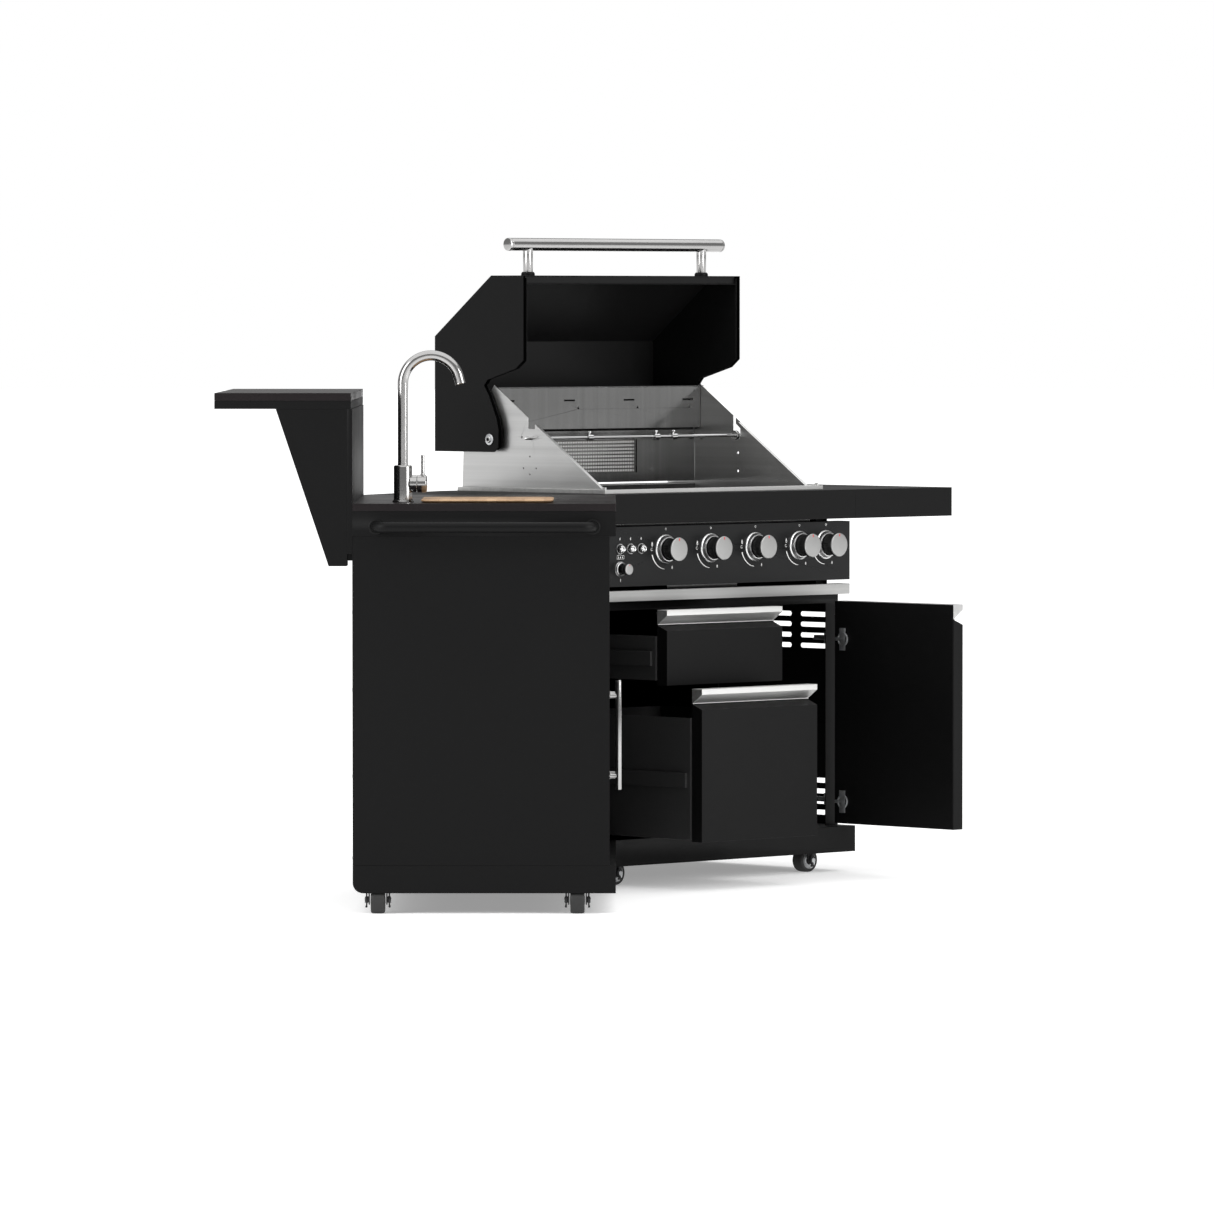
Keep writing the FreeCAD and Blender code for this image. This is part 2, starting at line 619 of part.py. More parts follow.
def sink_bowl():
    s0, s1 = BOARD_S[0] + 8, BOARD_S[1] - 8
    d0, d1 = BOARD_D[0] + 8, BOARD_D[1] - 8
    top = TOP_Z - SLAB_T
    outer = box(s0, s1, d0, d1, top - 150, top)
    corners = [e for e in outer.Edges if abs(e.Vertexes[0].Z - e.Vertexes[1].Z) > 100]
    outer = outer.makeFillet(40, corners)
    inner = box(s0 + 1.2, s1 - 1.2, d0 + 1.2, d1 - 1.2, top - 148.8, top + 1)
    corners = [e for e in inner.Edges if abs(e.Vertexes[0].Z - e.Vertexes[1].Z) > 100]
    inner = inner.makeFillet(38.8, corners)
    bowl = cut(outer, inner)
    flange = cut(box(s0 - 18, s1 + 18, d0 - 18, d1 + 18, top - 1.2, top), outer)
    mid = ((s0 + s1) / 2, (d0 + d1) / 2)
    drain_hole = rod((*mid, top - 160), Z, 20, 20)
    bowl = cut(fuse([bowl, flange]), drain_hole)
    cup = lathe([(0, 0), (20, 0), (20, 62), (44, 62), (44, 64), (0, 64)],
                (*mid, top - 150 - 64), Z)
    strainer = cut(cup, [rod((mid[0], mid[1], top - 220), Z, 17, 66)]
                   + [rod((mid[0] + 9 * math.cos(k), mid[1] + 9 * math.sin(k), top - 160), Z, 2, 20)
                      for k in (0.0, 1.05, 2.09, 3.14, 4.19, 5.24)])
    return [turn_sink(bowl), turn_sink(strainer)]


def cutting_board():
    board = box(*BOARD_S, *BOARD_D, TOP_Z, TOP_Z + 8)
    corners = [e for e in board.Edges if abs(e.Vertexes[0].Z - e.Vertexes[1].Z) > 5]
    return [turn_sink(board.makeFillet(18, corners))]


def bar_loop(z, s, d0, d1, reach, radius, bend):
    """A round bar whose ends turn back to the cabinet's end face."""
    out = s - reach
    legs = [rod((s, d, z), Vector(-1, 0, 0), radius, reach - bend) for d in (d0, d1)]
    run = rod((out, d0 + bend, z), V, radius, d1 - d0 - 2 * bend)
    elbow = Part.makeTorus(bend, radius, Vector(), Z, -180, 180, 90)
    first = elbow.copy()
    first.rotate(Vector(), Z, 180)
    first.translate(Vector(s - reach + bend, d0 + bend, z))
    second = elbow.copy()
    second.rotate(Vector(), Z, 90)
    second.translate(Vector(s - reach + bend, d1 - bend, z))
    return fuse(legs + [run, first, second])


def towel_bar():
    return [turn_sink(bar_loop(TOWEL_Z, -SINK_W, *TOWEL_D, TOWEL_REACH, TOWEL_R, 30))]


def faucet_body():
    s, d = FAUCET
    flange = lathe([(0, 0), (25, 0), (25, 4), (22, 7), (21.5, 7), (21.5, 83), (19, 86),
                    (SPOUT_R + RUN, 86), (SPOUT_R + RUN, 50), (0, 50)], (s, d, TOP_Z), Z)
    shank = rod((s, d, TOP_Z - 60), Z, 13, 60)
    nut = rod((s, d, TOP_Z - SLAB_T - 12), Z, 24, 12)
    side = rod((s, d - 18, TOP_Z + 43), Vector(0, -1, 0), 20, 14)
    side = cut(side, rod((s, d, TOP_Z), Z, 21.5, 90))
    pin = rod((s, d - 30, TOP_Z + 43), Vector(0, -1, 0), 8, 18)
    return [turn_sink(fuse([flange, shank, nut, side, pin]))]


def faucet_lever():
    s, d = FAUCET
    cap = rod((s, d - 32.5, TOP_Z + 43), Vector(0, -1, 0), 20.5, 24)
    cap = cut(cap, rod((s, d - 30, TOP_Z + 43), Vector(0, -1, 0), 8 + RUN, 19))
    stick = rod((s, d - 46, TOP_Z + 58), Z, 4.2, 52)
    return [turn_sink(fuse([cap, stick]))]


def faucet_spout():
    """Riser, half-round neck and outlet, in a plane that faces the front."""
    s, d = FAUCET
    base = TOP_Z + 51
    crown = SPOUT_TOP - SPOUT_R - SPOUT_BEND
    riser = rod((s, d, base), Z, SPOUT_R, crown - base)
    neck = Part.makeTorus(SPOUT_BEND, SPOUT_R, Vector(), Z, -180, 180, SPOUT_ARC)
    tail = rod((SPOUT_BEND, 0, 0), V, SPOUT_R, SPOUT_TAIL)
    tail.rotate(Vector(), Z, SPOUT_ARC)
    neck = fuse([neck, tail])
    over_the_sink = FreeCAD.Rotation(Vector(1, 1, 1), 120)
    neck.Placement = FreeCAD.Placement(Vector(s, d - SPOUT_BEND, crown), over_the_sink)
    return [turn_sink(fuse([riser, neck]))]


def sink_door(s0, s1, pull_s):
    leaf = pan(s0, s1, *DOOR_D, *DOOR_Z, 1.5, "+v")
    inner = box(s0 + 1.5, s1 - 1.5, DOOR_D[1] - 1.5, DOOR_D[1], DOOR_Z[0] + 1.5, DOOR_Z[1] - 1.5)
    axis_d = DOOR_D[0] - PULL_REACH
    bar = rod((pull_s, axis_d, PULL_Z[0]), Z, 7.75, PULL_Z[1] - PULL_Z[0])
    posts = [rod((pull_s, axis_d, z), V, 7, PULL_REACH) for z in (PULL_Z[0] + 33, PULL_Z[1] - 33)]
    return [turn_sink(leaf), turn_sink(inner), turn_sink(fuse([bar] + posts))]


# ---- corner and raised bar ----

def corner_unit():
    inner = offset_line(CORNER, SHEET, closed=True)
    top = cut(upright(CORNER, FASCIA_Z, TOP_Z), upright(inner, FASCIA_Z - 1, TOP_Z - SHEET))
    base = cut(upright(CORNER, *PLINTH_Z), upright(inner, PLINTH_Z[0] - 1, PLINTH_Z[1] - 3))
    shade = [CORNER[1], CORNER[2], inner[2], inner[1]]
    return [top, base, upright(shade, PLINTH_Z[1], FASCIA_Z)]


def bar_frame():
    s0, s1 = BAR_S
    riser = box(-SINK_W, 0, DEPTH, DEPTH + 12, RISER_Z, BAR_Z[0])
    riser = cut(riser, box(-SINK_W + SHEET, -SHEET, DEPTH + SHEET, DEPTH + 13, RISER_Z + SHEET,
                           BAR_Z[0] - SHEET))
    brackets = []
    for s in (s0, -489.0, -60.0):
        side = [(DEPTH + 12, 807), (665, 807), (787, BAR_Z[0]), (DEPTH + 12, BAR_Z[0])]
        room = [(DEPTH + 11, 806), (662.5, 809), (784, BAR_Z[0] - SHEET), (DEPTH + 11, BAR_Z[0] - SHEET)]
        solid = along_u(side, s, s + 60)
        brackets.append(cut(solid, along_u(room, s + SHEET, s + 60 - SHEET)))
    tray = pan(s0, s1, *BAR_D, BAR_Z[0], BAR_Z[1], SHEET, "-z")
    return [turn_sink(p) for p in [riser, tray] + brackets]


def bar_top():
    return [turn_sink(box(*BAR_S, *BAR_D, BAR_Z[1], BAR_Z[2]))]


# ---- casters, drawn at the swivel axis with the wheel trailing to -u ----

def caster_fork():
    head = rod((0, 0, 92), Z, 21, 13)
    yoke = box(-TRAIL - 8, 14, -22, 22, 88, 92.5)
    arms = []
    for side in (-1, 1):
        outline = [Vector(14, 0, 92), Vector(-TRAIL - 8, 0, 92), Vector(-TRAIL - 9, 0, 22),
                   Vector(-TRAIL + 9, 0, 22), Vector(-TRAIL + 14, 0, 50)]
        arm = Part.Face(Part.makePolygon(outline + outline[:1])).extrude(Vector(0, 3, 0))
        arm.translate(Vector(0, 19 if side > 0 else -22, 0))
        arms.append(arm)
        lug = box(-TRAIL - 8, -TRAIL + 8, 21.5, 31, 24, 40)
        pedal = box(-TRAIL - 4, -TRAIL + 4, 24, 28, 14, 58)
        for piece in (lug, pedal):
            if side < 0:
                piece = piece.mirror(Vector(), V)
            arms.append(piece)
    axle = rod((-TRAIL, -22, WHEEL_R), V, 4, 44)
    body = fuse([head, yoke, axle] + arms)
    return cut(body, rod((0, 0, 80), Z, 5.0 + RUN, 40))


def caster_wheel():
    half = WHEEL_W / 2
    r = WHEEL_R
    profile = [(4 + RUN, -half), (12, -half), (13, -half + 2), (21, -half + 2), (22, -half),
               (r - 4, -half), (r - 1, -half + 1.5), (r, -half + 5), (r, half - 5),
               (r - 1, half - 1.5), (r - 4, half), (22, half), (21, half - 2), (13, half - 2),
               (12, half), (4 + RUN, half)]
    return lathe(profile, (-TRAIL, 0, r), V)


def place_casters(parts):
    fork = caster_fork()
    wheel = caster_wheel()
    places = [("grill_front_left", False), ("grill_front_right", False),
              ("grill_back_left", False), ("grill_back_right", False),
              ("sink_front", True), ("sink_back", True)]
    centres = CASTERS_GRILL + CASTERS_SINK
    for (name, turned), (u, v) in zip(places, centres):
        for piece, shape in (("fork", fork), ("wheel", wheel)):
            copy = shape.copy()
            copy.translate(Vector(u, v, 0))
            if turned:
                copy = turn_sink(copy)
            parts["caster_%s_%s" % (piece, name)] = [copy]


def build():
    parts = {
        "plinth_trays": plinth_trays(),
        "grill_carcass": grill_carcass(),
        "cabinet_runners": cabinet_runners(),
        "front_trim": front_trim(),
        "control_panel": control_panel(),
        "control_bezels": control_bezels(),
        "grill_worktop": grill_worktop(),
        "side_shelf": side_shelf(),
        "firebox_sides": firebox_sides(),
        "firebox_liner": firebox_liner(),
        "grill_rim": grill_rim(),
        "cooking_grates": cooking_grates(),
        "burners_and_manifold": burners_and_manifold(),
        "spit_rod": spit_rod(),
        "grease_tray": grease_tray(),
        "hood_shell": hood_shell(),
        "hood_liner": hood_liner(),
        "hood_handle": hood_handle(),
        "sink_carcass": sink_carcass(),
        "sink_worktop": sink_worktop(),
        "sink_bowl": sink_bowl(),
        "cutting_board": cutting_board(),
        "towel_bar": towel_bar(),
        "faucet_body": faucet_body(),
        "faucet_lever": faucet_lever(),
        "faucet_spout": faucet_spout(),
        "corner_unit": corner_unit(),
        "bar_frame": bar_frame(),
        "bar_top": bar_top(),
    }
    for i, u in enumerate(KNOB_U):
        parts["knob_%d" % (i + 1)] = knob(u, KNOB_Z, KNOB_FACE_R, KNOB_BARREL_R, KNOB_REACH)
    parts["knob_small"] = knob(*SMALL_KNOB, SMALL_KNOB_R, 12.0, 31.0)
    for name, u in zip(("left", "middle", "right"), BUTTON_U):
        parts["button_%s" % name] = button(u)
    u0, u1 = BAY_LEFT, PARTITION_U[0]
    for name, z0, z1, pull in (("upper", UPPER_BOTTOM, FRONT_TOP, UPPER_PULL),
                               ("lower", LOWER_BOTTOM, LOWER_TOP, LOWER_PULL)):
        parts[name + "_drawer_front"] = [moved(front_panel(u0, u1, z0, z1), pull)]
        parts[name + "_drawer_grip"] = [moved(front_grip(u0, u1, z1), pull)]
    parts["upper_drawer_box"] = drawer_box(505, 612, 540, UPPER_PULL)
    parts["lower_drawer_box"] = drawer_box(124, 418, 250, LOWER_PULL)
    door = grill_door_parts()
    parts["grill_door"] = door[:-1]
    parts["grill_door_grip"] = door[-1:]
    for name, (s0, s1), pull_s in zip(("left", "right"), DOOR_S, PULL_S):
        parts["sink_door_" + name] = sink_door(s0, s1, pull_s)
    place_casters(parts)
    return parts


def frame_shift(parts):
    """The shift that puts the origin under the middle of the whole object's box."""
    whole = FreeCAD.BoundBox()
    for solids in parts.values():
        for solid in solids:
            whole.add(solid.optimalBoundingBox(False, False))
    return Vector(-(whole.XMin + whole.XMax) / 2, -(whole.YMin + whole.YMax) / 2, -whole.ZMin)


def export(parts, shift):
    os.makedirs("parts", exist_ok=True)
    for name, solids in parts.items():
        shape = solids[0] if len(solids) == 1 else Part.makeCompound(solids)
        shape = shape.copy()
        shape.translate(shift)
        shape.exportStep("parts/%s.step" % name)


PARTS = build()
SHIFT = frame_shift(PARTS)
export(PARTS, SHIFT)
print("nodes", len(PARTS), "shift", [round(x, 3) for x in SHIFT])
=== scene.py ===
# %% [markdown]
# # An outdoor kitchen grill
# The object is a gas grill in a painted steel cabinet, joined at 45 degrees to a second cabinet with a
# sink and a raised bar. Almost everything on it is folded sheet steel, so the look rests on three things:
# straight panels with small bend radii, a satin powder coat, and a few bright steel parts.
# The frame already holds every part at its true size. First we load it, and read a part's box wherever a
# size is needed.

# %% Load the frame
import json
import math

import bmesh
import bpy
from mathutils import Matrix, Vector


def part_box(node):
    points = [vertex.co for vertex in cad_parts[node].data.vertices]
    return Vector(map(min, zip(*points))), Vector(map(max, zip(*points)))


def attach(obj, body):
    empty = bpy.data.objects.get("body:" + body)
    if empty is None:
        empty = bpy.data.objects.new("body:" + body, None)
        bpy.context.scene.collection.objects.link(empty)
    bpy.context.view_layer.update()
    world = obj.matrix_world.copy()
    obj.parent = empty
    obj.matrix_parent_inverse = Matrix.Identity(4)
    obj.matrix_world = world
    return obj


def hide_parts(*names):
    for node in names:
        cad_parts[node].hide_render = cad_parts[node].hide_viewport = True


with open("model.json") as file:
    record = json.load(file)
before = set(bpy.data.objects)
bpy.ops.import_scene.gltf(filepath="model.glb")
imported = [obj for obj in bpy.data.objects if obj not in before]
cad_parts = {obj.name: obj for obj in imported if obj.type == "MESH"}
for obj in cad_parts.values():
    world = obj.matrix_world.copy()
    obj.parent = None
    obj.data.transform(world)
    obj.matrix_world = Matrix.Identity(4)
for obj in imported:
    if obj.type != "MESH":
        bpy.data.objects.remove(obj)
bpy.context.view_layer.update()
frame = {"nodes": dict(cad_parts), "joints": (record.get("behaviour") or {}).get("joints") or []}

nodes = frame["nodes"]
joints = {joint["name"]: joint for joint in frame["joints"]}
MM = 0.001

# %% [markdown]
# ## Two places to measure from
# A maker measures from an edge, not from the middle of the room. The grill cabinet is measured from its
# front left foot: u along the front, v to the back, z up. The sink cabinet meets it at that same corner
# and is turned by 45 degrees, so it gets the same kind of ruler, s and d, turned with it. Both give points
# in metres from sizes in millimetres.

# %% Rulers
corner = Vector((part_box("grill_worktop")[0].x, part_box("grill_worktop")[0].y, 0))
TURN = Matrix.Rotation(math.radians(45), 4, "Z")


def grill(u, v, z):
    """A point measured along the grill cabinet."""
    return corner + Vector((u, v, z)) * MM


def sink(s, d, z):
    """A point measured along the sink cabinet, where s is negative toward its free end."""
    return corner + TURN @ (Vector((s, d, z)) * MM)


def toward(point, direction):
    """A placement whose own Z points along direction."""
    facing = Vector(direction).to_track_quat("Z", "Y").to_matrix().to_4x4()
    return Matrix.Translation(point) @ facing


FRONT = Vector((0, -1, 0))
SINK_FRONT = TURN @ Vector((0, -1, 0))
SINK_END = TURN @ Vector((-1, 0, 0))
print("corner", [round(x, 4) for x in corner])

# %% [markdown]
# ## Node helpers
# Every finish is a small node graph: a noise in the part's own space, stretched along the way the metal
# was brushed, drives colour, roughness and a very fine bump. Only what really varies over the surface is
# linked. Plain numbers, such as how metallic the finish is, are set on the shader itself. Pictures of real
# metal would also do, but nodes stay sharp at any distance and fit every part without unwrapping it.

# %% Finish helpers
def finish(name, colour, roughness, metallic=0.0, specular=0.5):
    """A new material and its shader, with the plain numbers set."""
    material = bpy.data.materials.new(name)
    material.use_nodes = True
    shader = material.node_tree.nodes["Principled BSDF"]
    shader.inputs["Base Color"].default_value = (*colour, 1)
    shader.inputs["Roughness"].default_value = roughness
    shader.inputs["Metallic"].default_value = metallic
    shader.inputs["Specular IOR Level"].default_value = specular
    return material


# Nearly all noise values lie in this span.
NOISE_SPAN = (0.3, 0.7)


def add(material, kind, **inputs):
    """Add a shader node and set its inputs by name."""
    made = material.node_tree.nodes.new(kind)
    for key, value in inputs.items():
        made.inputs[key.replace("_", " ")].default_value = value
    return made


def join(material, source, target):
    material.node_tree.links.new(source, target)


def noise(material, scale, stretch=(1, 1, 1), detail=5.0, roughness=0.6):
    """Noise in the part's own space. A small stretch number draws it out along that axis."""
    place = add(material, "ShaderNodeTexCoord")
    mapping = add(material, "ShaderNodeMapping")
    mapping.inputs["Scale"].default_value = stretch
    made = add(material, "ShaderNodeTexNoise", Scale=scale, Detail=detail, Roughness=roughness)
    join(material, place.outputs["Object"], mapping.inputs["Vector"])
    join(material, mapping.outputs["Vector"], made.inputs["Vector"])
    return made.outputs["Fac"]


def vary(material, value, socket, low, high):
    """Let a 0 to 1 value run a shader number between low and high."""
    shader = material.node_tree.nodes["Principled BSDF"]
    ranged = add(material, "ShaderNodeMapRange", From_Min=NOISE_SPAN[0], From_Max=NOISE_SPAN[1],
                 To_Min=low, To_Max=high)
    join(material, value, ranged.inputs["Value"])
    join(material, ranged.outputs["Result"], shader.inputs[socket])


def tint(material, value, dark, light, low=NOISE_SPAN[0], high=NOISE_SPAN[1]):
    """Let a value run the colour from dark to light."""
    shader = material.node_tree.nodes["Principled BSDF"]
    ramp = material.node_tree.nodes.new("ShaderNodeValToRGB")
    ramp.color_ramp.elements[0].position, ramp.color_ramp.elements[1].position = low, high
    ramp.color_ramp.elements[0].color = (*dark, 1)
    ramp.color_ramp.elements[1].color = (*light, 1)
    join(material, value, ramp.inputs["Fac"])
    join(material, ramp.outputs["Color"], shader.inputs["Base Color"])


def bump(material, *layers):
    """Stack fine bumps: each layer is (value, height in millimetres)."""
    shader = material.node_tree.nodes["Principled BSDF"]
    normal = None
    for value, height in layers:
        made = add(material, "ShaderNodeBump", Strength=1.0, Distance=height * MM)
        join(material, value, made.inputs["Height"])
        if normal:
            join(material, normal, made.inputs["Normal"])
        normal = made.outputs["Normal"]
    join(material, normal, shader.inputs["Normal"])


def radius_of(material):
    """Distance from the piece's own Z axis, for marks that run in circles."""
    place = add(material, "ShaderNodeTexCoord")
    flat = add(material, "ShaderNodeVectorMath")
    flat.operation = "MULTIPLY"
    flat.inputs[1].default_value = (1, 1, 0)
    length = add(material, "ShaderNodeVectorMath")
    length.operation = "LENGTH"
    join(material, place.outputs["Object"], flat.inputs[0])
    join(material, flat.outputs["Vector"], length.inputs[0])
    return length.outputs["Value"]


# %% [markdown]
# ## Powder coat
# The cabinets are powder coated: black, satin, with a very fine orange peel about a millimetre across and
# slow cloudy changes in gloss where the coat is thicker. The inside of the hood has the same coat, a little
# lighter and smoother. The drawer boxes have the same black coat too, but it is painted a dark grey, as
# painted light for the light that barely reaches inside them. The control panel is a smoother enamel.

# %% Painted finishes
def painted(name, colour, roughness, peel, specular):
    """peel is the height of the orange peel in millimetres."""
    material = finish(name, colour, roughness, specular=specular)
    cloud = noise(material, 3.0, detail=3.0)
    vary(material, cloud, "Roughness", roughness - 0.05, roughness + 0.05)
    grain = noise(material, 950.0, detail=2.0)
    tint(material, grain, [c * 0.8 for c in colour], [c * 1.25 for c in colour])
    bump(material, (grain, peel), (cloud, 0.2))
    return material


powder_black = painted("powder_black", (0.0037, 0.0037, 0.0038), 0.46, 0.012, 0.11)
inner_coat = painted("inner_coat", (0.006, 0.006, 0.0061), 0.38, 0.008, 0.14)
panel_enamel = painted("panel_enamel", (0.0085, 0.0087, 0.009), 0.34, 0.004, 0.18)
# The drawer boxes' coat is painted much lighter than the black coat, as painted light inside the boxes.
box_coat_painted_light = painted("box_coat_painted_light", (0.03, 0.03, 0.0303), 0.42, 0.008, 0.25)

# %% [markdown]
# ## Steel
# Brushed sheet shows its grain as long fine lines. The grain runs along the sheet, so the same recipe is
# made for sheets brushed along x, along y and upright, each with its own brightness and gloss. The upright
# liner's steel is painted much darker, as painted shade for the dim surroundings it reflects, and the rim
# and drawer grips are painted brighter, as a painted highlight. Turned and bent parts, such as the faucet,
# are polished almost to a mirror and show only faint hairlines. Plated fittings use the polished recipe
# too, only duller.

# %% Metal finishes
GRAIN_DEPTH = 0.004


def brushed(name, colour, along, roughness=0.3):
    """along is the axis that the grain runs along."""
    stretch = {"x": (0.006, 1, 1), "y": (1, 0.006, 1), "z": (1, 1, 0.006)}[along]
    material = finish(name, colour, roughness, metallic=1.0)
    lines = noise(material, 1400.0, stretch, detail=3.0)
    broad = noise(material, 60.0, stretch, detail=4.0)
    cloud = noise(material, 5.0, detail=3.0)
    tint(material, broad, [c * 0.9 for c in colour], [min(1.0, c * 1.08) for c in colour])
    vary(material, cloud, "Roughness", roughness - 0.05, roughness + 0.06)
    bump(material, (lines, GRAIN_DEPTH), (broad, GRAIN_DEPTH))
    return material


def polished(name, colour, roughness, smear):
    """smear is how much duller the dullest places are."""
    material = finish(name, colour, roughness, metallic=1.0)
    cloud = noise(material, 22.0, detail=6.0)
    hair = noise(material, 900.0, (1, 1, 0.03), detail=2.0)
    tint(material, cloud, [c * 0.95 for c in colour], colour)
    vary(material, cloud, "Roughness", roughness, roughness + smear)
    bump(material, (hair, 0.0003))
    return material


steel_along_x = brushed("steel_along_x", (0.5, 0.5, 0.493), "x")
steel_along_y = brushed("steel_along_y", (0.58, 0.58, 0.575), "y", 0.33)
# The liner's steel is painted much darker than the other brushed steel, as painted shade from dark
# reflections.
liner_steel_painted_shade = brushed("liner_steel_painted_shade", (0.185, 0.185, 0.183), "z", 0.17)
# The rim and grip steel is painted brighter than the trim's steel, as a painted highlight of bright
# reflection.
rim_steel_painted_highlight = brushed("rim_steel_painted_highlight", (0.66, 0.66, 0.65), "x", 0.5)
polished_steel = polished("polished_steel", (0.38, 0.376, 0.372), 0.15, 0.02)
chrome = polished("chrome", (0.62, 0.62, 0.62), 0.06, 0.04)
zinc = polished("zinc", (0.56, 0.57, 0.58), 0.42, 0.1)
bezel_chrome = polished("bezel_chrome", (0.7, 0.7, 0.7), 0.3, 0.05)
brass = polished("brass", (0.62, 0.45, 0.2), 0.26, 0.12)

# %% [markdown]
# ## The other finishes
# Knob faces are turned aluminium, so their fine lines are circles about the knob's axis. The worktop slab
# is a dark fine-grained stone board with a brown cast, the cutting board is edge-glued bamboo, the grates
# are enamelled cast iron, and the rest is moulded plastic, rubber and print. Each recipe is the same idea
# again, a value from a noise that runs the colour, the gloss and a bump, with its own scale and depth.

# %% Turned face, plastics and print
def turned_face(name, colour):
    """Fine circles about the piece's own axis."""
    material = finish(name, colour, 0.38, metallic=1.0)
    circles = add(material, "ShaderNodeTexNoise", Scale=2600.0, Detail=2.0)
    circles.noise_dimensions = "1D"
    join(material, radius_of(material), circles.inputs["W"])
    tint(material, circles.outputs["Fac"], [c * 0.9 for c in colour], colour)
    vary(material, circles.outputs["Fac"], "Roughness", 0.32, 0.46)
    bump(material, (circles.outputs["Fac"], 0.003))
    return material


def moulded(name, colour, roughness, scale, depth):
    """Plastic, rubber or enamel with a fine moulded or cast texture."""
    material = finish(name, colour, roughness, specular=0.4)
    texture = noise(material, scale, detail=4.0)
    wear = noise(material, 14.0, detail=4.0)
    tint(material, wear, [c * 0.8 for c in colour], [c * 1.3 for c in colour])
    vary(material, wear, "Roughness", roughness - 0.06, roughness + 0.08)
    bump(material, (texture, depth))
    return material


knob_face = turned_face("knob_face", (0.41, 0.41, 0.405))
knob_grip = moulded("knob_grip", (0.012, 0.012, 0.012), 0.36, 700.0, 0.01)
caster_plastic = moulded("caster_plastic", (0.012, 0.012, 0.013), 0.42, 500.0, 0.02)
tyre_rubber = moulded("tyre_rubber", (0.018, 0.018, 0.018), 0.62, 300.0, 0.03)
grate_iron = moulded("grate_iron", (0.014, 0.013, 0.013), 0.5, 420.0, 0.08)
white_print = moulded("white_print", (0.75, 0.75, 0.74), 0.5, 600.0, 0.003)
red_mark = moulded("red_mark", (0.6, 0.02, 0.02), 0.4, 600.0, 0.003)
ceramic = moulded("ceramic", (0.2, 0.19, 0.18), 0.75, 260.0, 0.1)


# %% Slab and board
def stone_slab():
    material = finish("slab", (0.008, 0.0062, 0.0067), 0.3, specular=0.18)
    speckle = noise(material, 620.0, detail=3.0, roughness=0.75)
    cloud = noise(material, 9.0, detail=5.0)
    tint(material, speckle, (0.0045, 0.0032, 0.0036), (0.0135, 0.0102, 0.011), 0.38, 0.72)
    vary(material, cloud, "Roughness", 0.26, 0.38)
    bump(material, (speckle, 0.01))
    return material


# The strips' width in millimetres, and how much a strip's own tone counts beside its fibres.
STRIP_WIDTH = 22
TONE_SHARE = 0.35


def bamboo():
    """Strips glued edge to edge: each strip has its own tone, and fine fibres run along it."""
    material = finish("bamboo", (0.42, 0.25, 0.13), 0.5)
    place = add(material, "ShaderNodeTexCoord")
    strips = add(material, "ShaderNodeVectorMath")
    strips.operation = "MULTIPLY"
    strips.inputs[1].default_value = (0, 1000 / STRIP_WIDTH, 0)
    whole = add(material, "ShaderNodeVectorMath")
    whole.operation = "FLOOR"
    tone = material.node_tree.nodes.new("ShaderNodeTexWhiteNoise")
    join(material, place.outputs["Object"], strips.inputs[0])
    join(material, strips.outputs["Vector"], whole.inputs[0])
    join(material, whole.outputs["Vector"], tone.inputs["Vector"])
    fibre = noise(material, 420.0, (0.02, 1, 1), detail=5.0)
    mixed = add(material, "ShaderNodeMath")
    mixed.operation = "MULTIPLY_ADD"
    mixed.inputs[1].default_value = TONE_SHARE
    join(material, tone.outputs["Value"], mixed.inputs[0])
    join(material, fibre, mixed.inputs[2])
    tint(material, mixed.outputs["Value"], (0.28, 0.165, 0.085), (0.52, 0.345, 0.2), 0.35, 0.95)
    vary(material, fibre, "Roughness", 0.42, 0.6)
    bump(material, (fibre, 0.03))
    return material


slab_stone = stone_slab()
board_wood = bamboo()
print("finishes", len(bpy.data.materials))

# %% [markdown]
# ## Shape helpers
# Three ways of making metal parts cover nearly everything here: turning an outline on a lathe, sweeping a
# round section along a path, and folding or milling a block whose edges are then broken. Each helper adds
# its shape to a bmesh, so that one piece can be put together from several shapes.

# %% Rounded outlines
def rounded(points, radius, steps=4):
    """An open outline with each inner corner replaced by a small arc."""
    most = 0.45
    made = [Vector(points[0])]
    for before, here, after in zip(points, points[1:], points[2:]):
        a, b, c = Vector(before), Vector(here), Vector(after)
        reach = min(radius, (a - b).length * most, (c - b).length * most)
        start, end = b + (a - b).normalized() * reach, b + (c - b).normalized() * reach
        for k in range(steps + 1):
            t = k / steps
            made.append(start * (1 - t) ** 2 + b * 2 * t * (1 - t) + end * t ** 2)
    made.append(Vector(points[-1]))
    return made


# %% Lathe
def lathe(bm, outline, place, sides, lobes=None, ring=False, material=0):
    """Turn (radius, height) points in millimetres about local Z.

    lobes(angle, radius) may shape the round, and ring joins the last loop to the first."""
    loops = []
    for radius, height in outline:
        if radius < 1e-6:
            loops.append([bm.verts.new(place @ Vector((0, 0, height * MM)))])
            continue
        loop = []
        for k in range(sides):
            angle = 2 * math.pi * k / sides
            r = (lobes(angle, radius) if lobes else radius) * MM
            turned = Vector((r * math.cos(angle), r * math.sin(angle), height * MM))
            loop.append(bm.verts.new(place @ turned))
        loops.append(loop)
    pairs = list(zip(loops, loops[1:])) + ([(loops[-1], loops[0])] if ring else [])
    for low, high in pairs:
        for k in range(sides):
            j = (k + 1) % sides
            if len(low) == 1:
                corners = (low[0], high[j], high[k])
            elif len(high) == 1:
                corners = (low[k], low[j], high[0])
            else:
                corners = (low[k], low[j], high[j], high[k])
            bm.faces.new(corners).material_index = material


